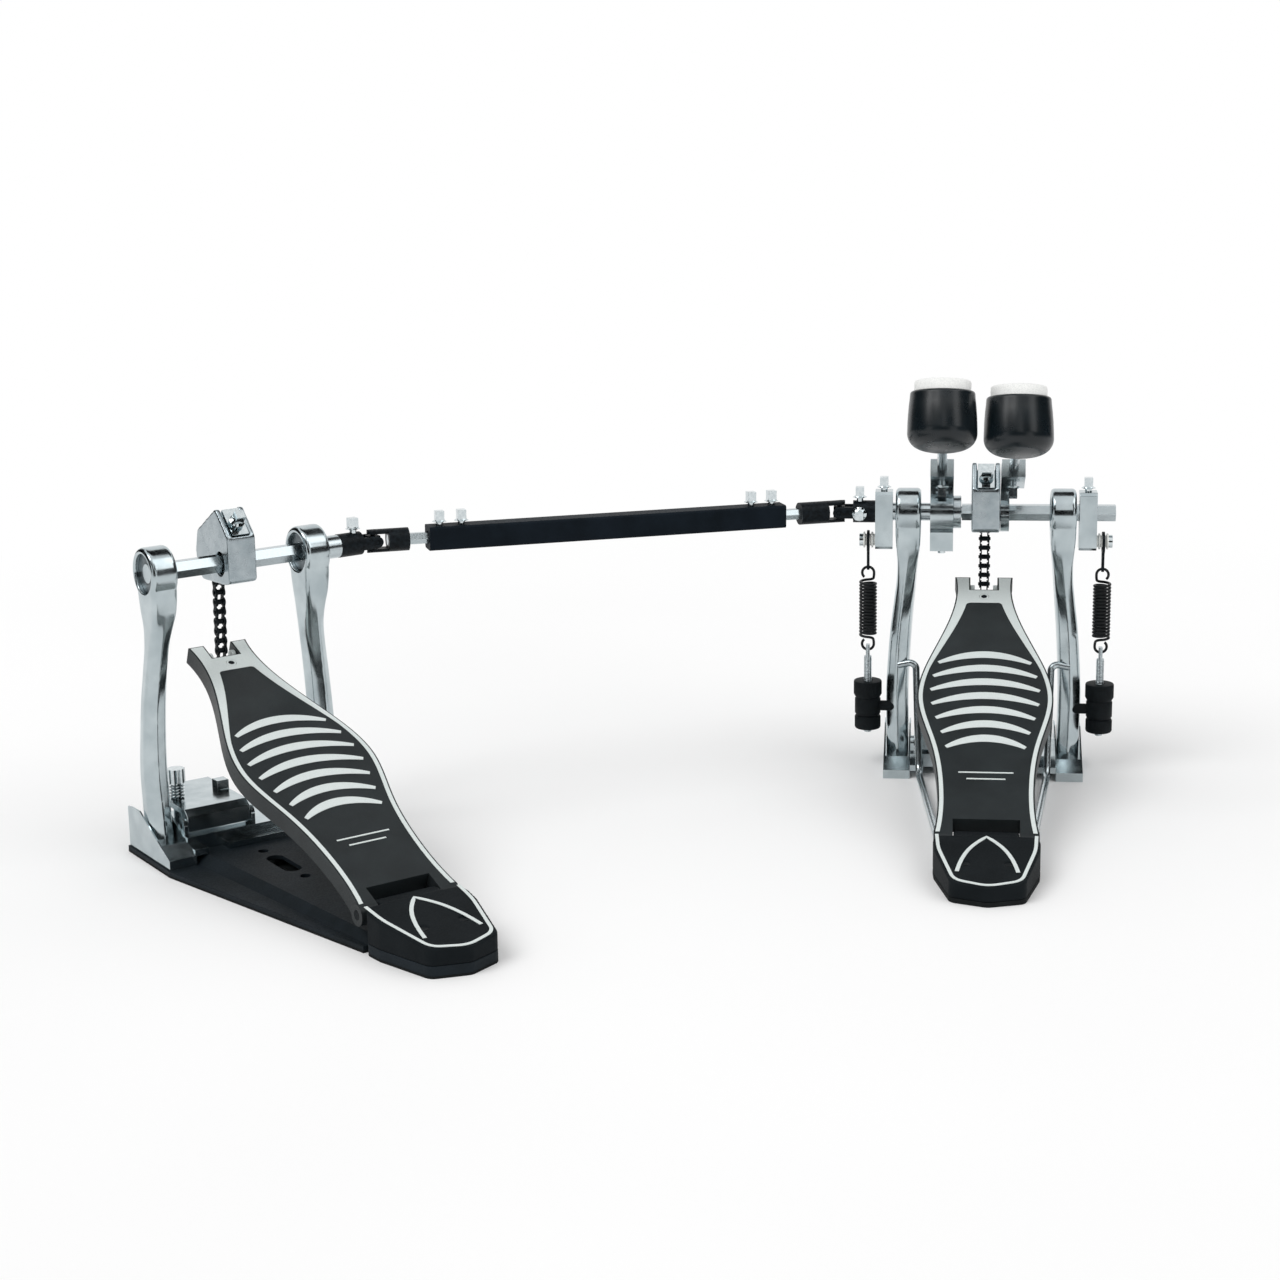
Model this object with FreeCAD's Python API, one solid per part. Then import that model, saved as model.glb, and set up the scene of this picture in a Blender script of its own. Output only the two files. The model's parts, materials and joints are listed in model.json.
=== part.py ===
"""Double bass drum pedal: a left pedal, a drive shaft and a right pedal with two beaters.

Millimetres. +Z is up, +Y points to the drum, and +X to the player's right.
Each pedal is drawn in its own frame, with its origin on the floor under the middle of its axle.
The left pedal is then turned and moved beside the right one, and the pair is centred over the origin.
"""
import FreeCAD, Part
import math
import os

V = FreeCAD.Vector
X, Y, Z = V(1, 0, 0), V(0, 1, 0), V(0, 0, 1)

# Place of the left pedal, under the middle of its axle
LEFT_X = -463.7
LEFT_Y = -195.2
LEFT_TURN = 41.5

# Clearances
FIT = 0.05                  # radial, a pin or shaft that turns or slides in its bore
SIDE_GAP = 0.5              # beside a piece that turns
LOOSE = 0.45                # radial, the shaft yokes' ears round the crosses' pins

# Cast frame
AXLE_H = 179.0
FOOT_IN = 49.0
FOOT_OUT = 67.0
FOOT_FRONT = -30.5
FOOT_BACK = 30.5
FOOT_H = 12.0
FOOT_LIP_H = 6.0
FOOT_SLOPE = 13.0
FIN_T = 1.0
FIN_H = 27.0
FIN_BACK = 24.0
BAR_FRONT = -18.0
BAR_BACK = 24.0
BAR_Z = 5.0
BAR_H = 9.0
LEDGE_FRONT = -28.5
LEDGE_H = 4.0
NOTCH_X = -33.0
NOTCH_W = 14.0
LIP_HALF = 47.0
LIP_BACK = 48.0
LIP_H = 6.0

# Posts: share of the height, offset and lean of the centre from the hub, half sizes and twist of each section
HUB_OUT = 60.0
HUB_T = 17.0
HUB_R = 16.2
POST_SPREAD = 6.5
POST_HALF_X = 6.8
POST_HALF_Y = 10.0
POST_LEAN = 4.5             # towards the drum, so the axle is nearer to the player than the feet
POST_SECTIONS = ((0.0, 0.97, 0.8, 1.1, 0.98, 0), (0.25, 1.06, 1.0, 1.11, 0.88, 4),
                 (0.55, 0.68, 0.85, 1.02, 0.84, 8), (0.76, 0.17, 0.4, 0.93, 0.98, 5),
                 (0.9, 0.0, 0.1, 1.14, 1.26, 0), (1.0, 0.0, 0.0, 1.25, 1.48, 0))
POST_CHAMFER = 0.4

# Bearings and axles
BEARING_R = 12.2
BEARING_T = 11.0
JOURNAL_R = 6.0
HEX_AF = 10.3
COLLAR_R = 7.3
SPIGOT_R = 4.0
MAIN_AXLE_END = 86.0
STUB_END = 16.3             # the stub shaft's inner end, left of the middle
STUB_BORE = 17.0            # depth in the stub of the main axle's spigot

# Base plate and mat of the left pedal
MAT_T = 1.5
PLATE_T = 2.6
PLATE_OUT = 68.0
PLATE_BACK = 31.5
PANEL_RISE = BAR_Z
PANEL_HALF = 40.0
PANEL_HEEL_HALF = 25.0
PANEL_SLOPE_W = 8.0
PANEL_HEEL_SLOPE_W = 4.0
SLOT_X = -11.0
SLOT_Y = -73.0
SLOT_LENGTH = 34.0
SLOT_W = 11.0
PLATE_HOLE_R = 3.2
PLATE_HOLE_STEP = 28.5

# Footboard: shares of its length with half widths, and the toe's places from its end
HINGE_Z = 16.0
HINGE_PIN_R = 3.0
BOARD_KNUCKLE_R = 6.5       # also the height of the board's top over the hinge
BOARD_T = 11.0
BOARD_SKIN = 4.5
BOARD_WALL = 3.6
BOARD_LENGTH = 260.0
BOARD_REACH = 53.0          # how much longer the board is than the hinge's distance from the axle
BOARD_SIDE = ((0.0, 31.8), (0.1615, 29.8), (0.3269, 35.0), (0.4923, 43.6), (0.6923, 33.2), (0.8538, 21.2))
TOE_HALF = 19.6
TOE_NOTCH_HALF = 9.2
TOE_NOTCH_DEPTH = 14.0
TOE_SOLID = 34.0
TOE_PIN_BACK = 9.0
TOE_PIN_R = 1.7
TOE_PIN_HALF = 15.0
TOE_SCREW_BACK = 22.0
TOE_SCREW_R = 3.0
LEFT_BOARD_TILT = 22.2
MAIN_BOARD_TILT = 24.0

# Heel plate
HEEL_GAP = 1.0
HEEL_HALF = 32.5
HEEL_FRONT_HALF = 22.0
HEEL_LENGTH = 64.5
HEEL_FRONT_H = 12.0
HEEL_PAD = 3.0
HEEL_CORNER_R = 7.0
HEEL_SHOULDER = 17.4        # length of the straight sides beside the hinge
HEEL_SHOULDER_HALF = 31.5
HEEL_NOSE = 7.7             # length of the pointed front
TONGUE_HALF = 19.8
TONGUE_R = 6.0
TONGUE_NOTCH_U = 13.0
HEEL_SCREW_X = 13.4
HEEL_SCREW_BACK = 42.0      # from the hinge
HEEL_SCREW_R = 3.4
HEEL_SCREW_SINK = 0.5

# Chain
CHAIN_R = 22.5
PITCH = 6.35
LINK_R = 2.7
ROLLER_R = 1.65
ROLLER_HALF = 1.7
LINK_T = 0.8
CHAIN_PIN_R = 1.15
CHAIN_HALF = 4.0
CHAIN_TOP = 15.0            # the chain's end over the axle's height

# Cam, points round the axle (towards the drum, up)
CAM_T = 18.8
CAM_CHEEK = 3.4
CAM_WEB_R = 18.4
CAM_ROUND = 3.0
CAM_POINTS = ((-14.0, -11.0), (-14.0, 18.0), (2.0, 34.0), (30.5, 16.5), (34.0, 3.0), (32.0, -9.0),
              (26.0, -14.5), (-6.0, -13.0))
STRAP_W = 11.0
STRAP_T = 3.4
STRAP_PROUD = 0.8
STRAP_START = 1.0
STRAP_END = 20.5
STRAP_BOLT = 9.5

# Key bolts
BOLT_R = 2.3
BOLT_STAND = 2.4
BOLT_FLANGE_R = 4.8
BOLT_FLANGE_T = 1.6
BOLT_SQUARE = 5.6
BOLT_HEAD_H = 6.2

# Universal joints and drive shaft
LEFT_JOINT_X = 97.8
MAIN_JOINT_X = -98.2
YOKE_R = 7.5
YOKE_THROAT = 9.5
EAR_HALF = 3.9
EAR_INNER = 4.8
CROSS_PIN_R = 1.5
CROSS_HALF = 3.7
LEFT_YOKE_END = 72.3
STUB_YOKE_END = -73.7
SHAFT_YOKE_LEFT = 23.0
SHAFT_YOKE_MAIN = 29.0
YOKE_BOLT = 14.0            # from the cross to a yoke's bolts
ROD_AF = 7.0
TUBE_W = 15.4
TUBE_ROUND = 1.8
TUBE_BORE_R = 4.4
TUBE_START = 35.7           # from the left cross
TUBE_END = 41.0             # from the main cross
TUBE_GRIP = 45.0            # length of a rod inside the tube
TUBE_BOLTS = (8.0, 22.5)    # from each end of the tube

# Beaters and their holders, along the rod from the axle
LEAN_ANGLE = 65.0
LEFT_BEATER_X = -29.2
RIGHT_BEATER_X = 17.6
LEFT_HEAD_AT = 153.0
RIGHT_HEAD_AT = 141.0
ROD_R = 3.2
ROD_OFFSET = 20.0           # from the axle to the rod, which passes on the drum side
ROD_START = 17.0
ROD_BORE_START = 7.0
HOLDER_START = 8.0
HOLDER_END = 38.0
HOLDER_HALF_X = 7.7
HOLDER_LOW = 14.5           # from the axle to the near face of the grip
HOLDER_T = 12.0
HOLDER_BOLT = 19.5
NECK_END = 12.0
NECK_HALF = 6.5
HUB_RING_R = 15.0
HUB_TAIL = 25.5
HUB_TAIL_HALF = 8.0
HUB_FLANGE_R = 11.0
SET_SCREW_R = 2.6
CLAMP_RING_R = 13.0
CLAMP_RING_T = 5.6
HOLDER_GAP = 0.5
HEAD_R = 21.5
HEAD_BACK = 18.3
HEAD_FRONT = 18.3
HEAD_ROUND = 9.5
HEAD_RIM_ROUND = 2.2
FACE_ANGLE = 10.0           # how far the felt's face is turned up from square to the rod
FELT_R = 17.5
FELT_SEAT = 5.0
FELT_PROUD = 7.0

# Return springs
SPRING_X = 78.5
BLOCK_IN = 62.0
BLOCK_T = 11.7
BLOCK_HALF_Y = 7.5
BLOCK_UP = 14.5
BLOCK_DOWN = 24.8
BLOCK_CHAMFER = 2.0
CRANK = 19.5
BUSH_R = 4.0
BUSH_FLANGE_R = 5.4
BUSH_FLANGE_T = 1.2
BUSH_GROOVE = 4.2
PAN_R = 4.4
PAN_T = 2.6
PAN_SHANK_R = 2.2
HOOK_T = 1.8
HOOK_PLAY = 1.35            # room all round the bush for its swing
HOOK_RIM = 2.2
HOOK_SEAT = 0.3
HOOK_W = 5.0
HOOK_DROP = 18.5
EYE_R = 1.6
COIL_R = 5.2
COIL_WIRE = 1.8
COIL_PITCH = 2.3
LOOP_R = 4.0
LOOP_RISE = 6.0
LOOP_TAIL = 50.0            # degrees past the half turn
STUD_Z = 43.0
STUD_R = 3.5
STUD_DEPTH = 6.0
HOLDER_R = 8.8
HOLDER_H = 13.0
NUT_R = 9.6
NUT_TOP_H = 11.5
NUT_LOW_R = 8.9
NUT_LOW_H = 9.5
NUT_GROOVE_COUNT = 28
NUT_GROOVE_D = 0.5
THREAD_R = 2.5
THREAD_TAIL = 2.5
ROD_STAND = 39.5            # least height of a threaded rod's eye over its stud
EYE_FLAT = 1.3

# Hoop clamp
JAW_X = (-46.0, -4.0)
JAW_Y = -9.0
JAW_Z = 19.5
JAW_BARREL_R = 4.0
JAW_PIN_R = 2.0
JAW_TOP = 29.0
JAW_T = 3.5
JAW_FACE_Y = -8.0
JAW_NOSE = 11.0
JAW_NOSE_H = 4.0
JAW_LUG_T = 2.4
JAW_LUG_R = 5.0
JAW_EAR_W = 8.0
JAW_EAR_H = 6.0
SCREW_X = -39.5
SCREW_Y = 16.4
SCREW_R = 3.0
SCREW_PLAY = 1.2
KNOB_R = 5.6
KNOB_H = 9.0
KNOB_GROOVE_COUNT = 20
CLAMP_COIL_R = 4.3
CLAMP_WIRE = 1.2
CLAMP_PITCH = 2.0
CLAMP_TURNS = 4.5
CLAMP_COIL_GAP = 0.65

# Steel wire rods from the heel to the posts of the right pedal
STAY_R = 2.4
STAY_HEEL_X = 25.0
STAY_HEEL_BACK = 12.0       # from the hinge
STAY_HEEL_Z = 6.6
STAY_FLOOR = (42.6, -36.0, 5.0)
STAY_TOP = (45.6, -2.0, 75.0)
STAY_END_Z = 72.5
STAY_FLOOR_BEND = 12.0
STAY_TOP_BEND = 4.5

BASE_LIFT = MAT_T + PLATE_T
HUB_X = HUB_OUT - HUB_T / 2
BOARD_STATIONS = tuple((share * BOARD_LENGTH, half) for share, half in BOARD_SIDE)
TOE_PIN_U = BOARD_LENGTH - TOE_PIN_BACK
TOE_SCREW_U = BOARD_LENGTH - TOE_SCREW_BACK
HINGE_Y = BOARD_REACH - BOARD_LENGTH
HEEL_BACK_Y = HINGE_Y - BOARD_KNUCKLE_R - HEEL_GAP
HEEL_SCREW_Y = HINGE_Y - HEEL_SCREW_BACK
COIL_ROOM = AXLE_H - CRANK - HOOK_DROP - STUD_Z - ROD_STAND - 2 * (LOOP_RISE + LOOP_R)
COIL_TURNS = int(COIL_ROOM / COIL_PITCH) + 0.5
HEEL_BACK_H = HINGE_Z + BOARD_KNUCKLE_R
CHEEK_X = CAM_T / 2


# Plain shapes

def box(x, y, z):
    """A box between three pairs of limits."""
    return Part.makeBox(x[1] - x[0], y[1] - y[0], z[1] - z[0], V(x[0], y[0], z[0]))


def rod(radius, start, end):
    """A round bar between two points."""
    return Part.makeCylinder(radius, (end - start).Length, start, end - start)


def bar_x(radius, x, y=0.0, z=AXLE_H):
    """A round bar along X."""
    return rod(radius, V(x[0], y, z), V(x[1], y, z))


def hex_x(flats, x, y=0.0, z=0.0):
    """A hexagonal bar along X."""
    corner = flats / math.sqrt(3)
    turns = [math.radians(60 * i) for i in range(7)]
    ring = [V(x[0], y + corner * math.cos(t), z + corner * math.sin(t)) for t in turns]
    return Part.Face(Part.makePolygon(ring)).extrude(V(x[1] - x[0], 0, 0))


def slab_x(points, x):
    """A flat piece of constant thickness along X, with corners given as (y, z)."""
    ring = [V(x[0], y, z) for y, z in points]
    return Part.Face(Part.makePolygon(ring + ring[:1])).extrude(V(x[1] - x[0], 0, 0))


def rounded(points, radius):
    """A closed wire through corner points, each corner replaced by an arc."""
    count = len(points)
    starts, ends, arcs = [], [], []
    for i, corner in enumerate(points):
        back = points[i - 1] - corner
        ahead = points[(i + 1) % count] - corner
        half = back.getAngle(ahead) / 2
        cut = min(radius / math.tan(half), 0.45 * back.Length, 0.45 * ahead.Length)
        back.normalize()
        ahead.normalize()
        bow = cut * math.tan(half)
        middle = corner + (back + ahead).normalize() * (bow / math.sin(half) - bow)
        starts.append(corner + back * cut)
        ends.append(corner + ahead * cut)
        arcs.append(Part.Arc(starts[-1], middle, ends[-1]).toShape())
    edges = []
    for i in range(count):
        edges.append(arcs[i])
        edges.append(Part.LineSegment(ends[i], starts[(i + 1) % count]).toShape())
    return Part.Wire(edges)


def star(radius, depth, count, height):
    """A grooved round knob along Z."""
    steps = [math.pi * i / count for i in range(2 * count + 1)]
    reach = [radius - depth * (i % 2) for i in range(2 * count + 1)]
    ring = [V(r * math.cos(t), r * math.sin(t), 0) for r, t in zip(reach, steps)]
    return Part.Face(Part.makePolygon(ring)).extrude(V(0, 0, height))


def join(shapes):
    """One solid from touching shapes."""
    return shapes[0].multiFuse(shapes[1:]).removeSplitter()


def mirrored(shape):
    """The same piece on the other side of the pedal's middle."""
    return shape.mirror(V(0, 0, 0), X)


def moved(shape, place):
    """A copy of a shape, moved by a placement."""
    return shape.transformed(place.toMatrix(), copy=True)


def turned_x(shape, angle, at):
    """A copy turned about an X line and then moved from the origin to a point."""
    return moved(shape, FreeCAD.Placement(at, FreeCAD.Rotation(X, angle)))


def frame_at(origin, along, up):
    """A placement with its X axis along one direction and its Z axis near another."""
    x_dir = V(along).normalize()
    y_dir = V(up).cross(x_dir).normalize()
    z_dir = x_dir.cross(y_dir)
    matrix = FreeCAD.Matrix(x_dir.x, y_dir.x, z_dir.x, origin.x, x_dir.y, y_dir.y, z_dir.y, origin.y,
                            x_dir.z, y_dir.z, z_dir.z, origin.z, 0, 0, 0, 1)
    return FreeCAD.Placement(matrix)


def left_place():
    """Where the left pedal's own frame stands."""
    return FreeCAD.Placement(V(LEFT_X, LEFT_Y, BASE_LIFT), FreeCAD.Rotation(Z, LEFT_TURN))


# Wound wire

def arc_from(start, heading, end):
    """The arc that leaves a point along a heading and reaches another point."""
    chord = end - start
    middle = (start + end) * 0.5
    half = chord.Length / 2
    turn = heading.getAngle(chord)
    side = heading - chord * (heading.dot(chord) / chord.dot(chord))
    return Part.Arc(start, middle + side.normalize() * (half * math.tan(turn / 2)), end).toShape()


def biarc(start, heading, end, arrival):
    """Two arcs from point to point that share a tangent."""
    chord = end - start
    both = heading + arrival
    closing = 2 * (1 - heading.dot(arrival))
    reach = chord.dot(both)
    arm = (math.sqrt(reach * reach + closing * chord.dot(chord)) - reach) / closing
    meet = (start + heading * arm + end - arrival * arm) * 0.5
    first = arc_from(start, heading, meet)
    return [first, arc_from(meet, first.tangentAt(first.LastParameter), end)]


def helix_point(radius, pitch, angle):
    """A point on a helix round Z, and its heading."""
    point = V(radius * math.cos(angle), radius * math.sin(angle), pitch * angle / (2 * math.pi))
    heading = V(-radius * math.sin(angle), radius * math.cos(angle), pitch / (2 * math.pi))
    return point, heading.normalize()


def helix(radius, pitch, start, end):
    """A helix round Z as biarcs of a quarter turn."""
    steps = round((end - start) / (math.pi / 2))
    knots = [helix_point(radius, pitch, start + (end - start) * i / steps) for i in range(steps + 1)]
    edges = []
    for (p0, t0), (p1, t1) in zip(knots, knots[1:]):
        edges += biarc(p0, t0, p1, t1)
    return edges


def least_gap(edges, wire):
    """The least clear distance of a wound wire to itself, measured on points."""
    step = wire / 3
    points = []
    for edge in edges:
        points += edge.discretize(Number=max(4, round(edge.Length / step)))[:-1]
    apart = round(4 * wire / step)
    least = min((p - q).Length for i, p in enumerate(points) for q in points[i + apart:])
    return least - wire


def wound(edges, wire, name):
    """A round wire swept along joined edges."""
    path = Part.Wire(edges)
    ring = Part.Wire(Part.Circle(edges[0].valueAt(edges[0].FirstParameter),
                                 edges[0].tangentAt(edges[0].FirstParameter), wire / 2).toShape())
    print(name, "least gap to itself", round(least_gap(edges, wire), 2))
    return path.makePipeShell([ring], True, False)


def return_coil():
    """A return spring along Z about its middle, with a loop at each end."""
    end = COIL_TURNS * math.pi
    tip, heading = helix_point(COIL_R, COIL_PITCH, end)
    centre = V(0, 0, tip.z + LOOP_RISE)
    first, last = centre - X * LOOP_R, centre + X * LOOP_R
    tail = math.radians(LOOP_TAIL)
    stop = centre + X * (LOOP_R * math.cos(tail)) - Z * (LOOP_R * math.sin(tail))
    side = centre + X * (LOOP_R * math.cos(tail / 2)) - Z * (LOOP_R * math.sin(tail / 2))
    loop = biarc(tip, heading, first, Z)
    loop.append(Part.Arc(first, centre + Z * LOOP_R, last).toShape())
    loop.append(Part.Arc(last, side, stop).toShape())
    half_turn = FreeCAD.Rotation(X, 180)
    foot = []
    for edge in reversed(loop):
        ends = [edge.LastParameter, (edge.FirstParameter + edge.LastParameter) / 2, edge.FirstParameter]
        foot.append(Part.Arc(*[half_turn.multVec(edge.valueAt(p)) for p in ends]).toShape())
    return wound(foot + helix(COIL_R, COIL_PITCH, -end, end) + loop, COIL_WIRE, "return spring")


def coil_half_length():
    """From a return spring's middle to the wire's centre at the top of its loop."""
    return COIL_TURNS * COIL_PITCH / 2 + LOOP_RISE + LOOP_R


# Frame of each pedal

def frame_casting(cuts):
    """Feet with fins, cross bar, lower lip of the hoop clamp and lugs for the jaw."""
    foot_side = [(FOOT_FRONT, 0), (FOOT_BACK, 0), (FOOT_BACK, FOOT_H), (FOOT_FRONT + FOOT_SLOPE, FOOT_H),
                 (FOOT_FRONT, FOOT_LIP_H)]
    fin_side = [(FOOT_FRONT + FOOT_SLOPE, FOOT_H), (FOOT_BACK, FOOT_H), (FOOT_BACK, FIN_H - FIN_T),
                (FIN_BACK, FIN_H), (FIN_BACK - FOOT_H, FIN_H)]
    foot = join([slab_x(foot_side, (FOOT_IN, FOOT_OUT)), slab_x(fin_side, (FOOT_IN, FOOT_IN + FIN_T)),
                 slab_x(fin_side, (FOOT_OUT - FIN_T, FOOT_OUT))])
    bar_top = BAR_Z + BAR_H
    bar = box((-FOOT_IN, FOOT_IN), (BAR_FRONT, BAR_BACK), (BAR_Z, bar_top))
    ledge = box((-FOOT_IN, FOOT_IN), (LEDGE_FRONT, BAR_FRONT), (BAR_Z, BAR_Z + LEDGE_H))
    notch = box((NOTCH_X - NOTCH_W / 2, NOTCH_X + NOTCH_W / 2), (LEDGE_FRONT, BAR_FRONT), (BAR_Z, bar_top))
    lip = box((-LIP_HALF, LIP_HALF), (BAR_BACK, LIP_BACK), (BAR_Z, BAR_Z + LIP_H))
    lugs = []
    for face, step in ((JAW_X[0], -1), (JAW_X[1], 1)):
        near, far = face + step * SIDE_GAP, face + step * (SIDE_GAP + JAW_LUG_T)
        span = (min(near, far), max(near, far))
        lugs.append(bar_x(JAW_LUG_R, span, JAW_Y, JAW_Z))
        lugs.append(box(span, (JAW_Y - JAW_LUG_R, JAW_Y + JAW_LUG_R), (bar_top, JAW_Z)))
    casting = join([foot, mirrored(foot), bar, ledge.cut(notch), lip] + lugs)
    thread = rod(SCREW_R + FIT, V(SCREW_X, SCREW_Y, BAR_Z), V(SCREW_X, SCREW_Y, bar_top))
    return casting.cut([thread] + cuts)


def post_section(share, offset, lean, wide, deep, twist):
    """One eight-sided section of the right-hand post."""
    half_x, half_y = POST_HALF_X * wide, POST_HALF_Y * deep
    cut = POST_CHAMFER * half_x
    flat_x, flat_y = half_x - cut, half_y - cut
    corners = [(half_x, -flat_y), (half_x, flat_y), (flat_x, half_y), (-flat_x, half_y),
               (-half_x, flat_y), (-half_x, -flat_y), (-flat_x, -half_y), (flat_x, -half_y)]
    height = FOOT_H + share * (AXLE_H - HUB_R / 2 - FOOT_H)
    centre = V(HUB_X + POST_SPREAD * offset, POST_LEAN * lean, height)
    turn = FreeCAD.Rotation(Z, twist)
    ring = [centre + turn.multVec(V(x, y, 0)) for x, y in corners]
    return Part.makePolygon(ring + ring[:1])


def posts(cuts):
    """The right and left posts with their bored hubs."""
    blade = Part.makeLoft([post_section(*row) for row in POST_SECTIONS], True, True)
    hub = bar_x(HUB_R, (HUB_OUT - HUB_T, HUB_OUT))
    bore = bar_x(BEARING_R, (HUB_OUT - HUB_T, HUB_OUT))
    right = blade.fuse(hub).cut(bore)
    return [post.cut(cuts) if cuts else post for post in (right, mirrored(right))]


def bearings():
    """A ring in each hub."""
    span = (HUB_X - BEARING_T / 2, HUB_X + BEARING_T / 2)
    ring = bar_x(BEARING_R, span).cut(bar_x(JOURNAL_R + FIT, span))
    return [ring, mirrored(ring)]


def heel_outline():
    """The heel plate's outline, narrower towards the player."""
    front = HEEL_BACK_Y - HEEL_LENGTH
    right = [V(HEEL_HALF, HEEL_BACK_Y, 0), V(HEEL_SHOULDER_HALF, HEEL_BACK_Y - HEEL_SHOULDER, 0),
             V(HEEL_FRONT_HALF, front + HEEL_NOSE, 0)]
    left = [V(-p.x, p.y, 0) for p in reversed(right)]
    return rounded(right + [V(0, front, 0)] + left, HEEL_CORNER_R)


def heel_slab(bottom, height):
    """The heel plate's outline as a level slab."""
    face = Part.Face(heel_outline())
    face.translate(V(0, 0, bottom))
    return face.extrude(V(0, 0, height))


def heel_top(y):
    """Height of the heel plate's sloping top."""
    share = (HEEL_BACK_Y - y) / HEEL_LENGTH
    return HEEL_BACK_H + share * (HEEL_FRONT_H - HEEL_BACK_H)


def heel_screws():
    """Two countersunk screws through the heel plate."""
    shank_r = HEEL_SCREW_R / 2
    neck_z = heel_top(HEEL_SCREW_Y) - HEEL_SCREW_SINK - shank_r
    screws = []
    for x in (-HEEL_SCREW_X, HEEL_SCREW_X):
        neck = V(x, HEEL_SCREW_Y, neck_z)
        head = Part.makeCone(shank_r, HEEL_SCREW_R, shank_r, neck)
        screws.append(join([head, rod(shank_r, V(x, HEEL_SCREW_Y, HEEL_PAD), neck)]))
    return screws


def heel_plate(cuts):
    """A sloping plate with a hinge tongue at its back."""
    slab = heel_slab(HEEL_PAD, HEEL_BACK_H)
    front = HEEL_BACK_Y - HEEL_LENGTH
    wedge = slab_x([(HEEL_BACK_Y, 0), (HEEL_BACK_Y, HEEL_BACK_H), (front, HEEL_FRONT_H), (front, 0)],
                   (-HEEL_HALF, HEEL_HALF))
    span = (-TONGUE_HALF, TONGUE_HALF)
    tongue = box(span, (HEEL_BACK_Y, HINGE_Y), (HINGE_Z - TONGUE_R, HINGE_Z + TONGUE_R))
    plate = join([slab.common(wedge), tongue, bar_x(TONGUE_R, span, HINGE_Y, HINGE_Z)])
    well_z = heel_top(HEEL_SCREW_Y) - HEEL_SCREW_SINK
    floors = [V(x, HEEL_SCREW_Y, well_z) for x in (-HEEL_SCREW_X, HEEL_SCREW_X)]
    wells = [rod(HEEL_SCREW_R, p, p + Z * HEEL_SCREW_R) for p in floors]
    return plate.cut(wells + cuts)


def hinge_pin():
    """The pin through the heel plate's tongue and the footboard."""
    reach = BOARD_SIDE[0][1]
    return bar_x(HINGE_PIN_R, (-reach, reach), HINGE_Y, HINGE_Z)


def jaw_pin():
    """The hoop clamp jaw's pin, from lug to lug."""
    reach = SIDE_GAP + JAW_LUG_T
    return bar_x(JAW_PIN_R, (JAW_X[0] - reach, JAW_X[1] + reach), JAW_Y, JAW_Z)


def plate_section(y, half, panel, slope):
    """Section of the base plate: level flanges, slopes and a raised middle."""
    flange = panel + slope
    upper = [(-half, 0), (-flange, 0), (-panel, PANEL_RISE), (panel, PANEL_RISE), (flange, 0), (half, 0)]
    lower = [(x, z - PLATE_T) for x, z in reversed(upper)]
    ring = [V(x, y, z) for x, z in upper + lower]
    return Part.makePolygon(ring + ring[:1])


def base_plate():
    """The left pedal's pressed plate, in the pedal's frame, below its casting."""
    wide = (PLATE_OUT, PANEL_HALF, PANEL_SLOPE_W)
    sheet = Part.makeLoft([plate_section(HEEL_BACK_Y, HEEL_HALF, PANEL_HEEL_HALF, PANEL_HEEL_SLOPE_W),
                           plate_section(-PLATE_BACK, *wide), plate_section(PLATE_BACK, *wide)], True, True)
    pad = heel_slab(-PLATE_T, PLATE_T + HEEL_PAD)
    holes = [plate_slot()]
    for s in (-1, 1):
        spot = V(SLOT_X, SLOT_Y + s * PLATE_HOLE_STEP, 0)
        holes.append(rod(PLATE_HOLE_R, spot - Z * PLATE_T, spot + Z * (PANEL_RISE + PLATE_T)))
    return join([sheet, pad]).cut(holes)


def plate_slot():
    """The long hole through the base plate and the mat."""
    low, high = -BASE_LIFT, PANEL_RISE + PLATE_T
    ends = [V(SLOT_X, SLOT_Y + s * (SLOT_LENGTH - SLOT_W) / 2, 0) for s in (-1, 1)]
    middle = box((SLOT_X - SLOT_W / 2, SLOT_X + SLOT_W / 2), (ends[0].y, ends[1].y), (low, high))
    return join([middle] + [rod(SLOT_W / 2, p + Z * low, p + Z * high) for p in ends])


def rubber_mat():
    """A flat mat under the base plate."""
    right = [V(HEEL_HALF, HEEL_BACK_Y, 0), V(PLATE_OUT, -PLATE_BACK, 0), V(PLATE_OUT, PLATE_BACK, 0)]
    corners = right + [V(-p.x, p.y, 0) for p in reversed(right)]
    sheet = Part.Face(Part.makePolygon(corners + corners[:1]))
    sheet.translate(V(0, 0, -BASE_LIFT))
    return join([sheet.extrude(V(0, 0, MAT_T)), heel_slab(-BASE_LIFT, MAT_T)]).cut(plate_slot())


def stay_rod():
    """The right-hand wire rod: along the floor, up beside the post and into it."""
    heel = V(STAY_HEEL_X, HINGE_Y - STAY_HEEL_BACK, STAY_HEEL_Z)
    floor, top = V(*STAY_FLOOR), V(*STAY_TOP)
    into_post = V(HUB_X + POST_SPREAD, STAY_TOP[1], STAY_END_Z)
    edges, start = [], heel
    for corner, after, bend in ((floor, top, STAY_FLOOR_BEND), (top, into_post, STAY_TOP_BEND)):
        back, ahead = (start - corner).normalize(), (after - corner).normalize()
        half = back.getAngle(ahead) / 2
        cut = bend / math.tan(half)
        middle = corner + (back + ahead).normalize() * (bend / math.sin(half) - bend)
        edges.append(Part.LineSegment(start, corner + back * cut).toShape())
        edges.append(Part.Arc(corner + back * cut, middle, corner + ahead * cut).toShape())
        start = corner + ahead * cut
    edges.append(Part.LineSegment(start, into_post).toShape())
    ring = Part.Wire(Part.Circle(heel, edges[0].tangentAt(edges[0].FirstParameter), STAY_R).toShape())
    return Part.Wire(edges).makePipeShell([ring], True, False)


# Footboard and chain

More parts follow.
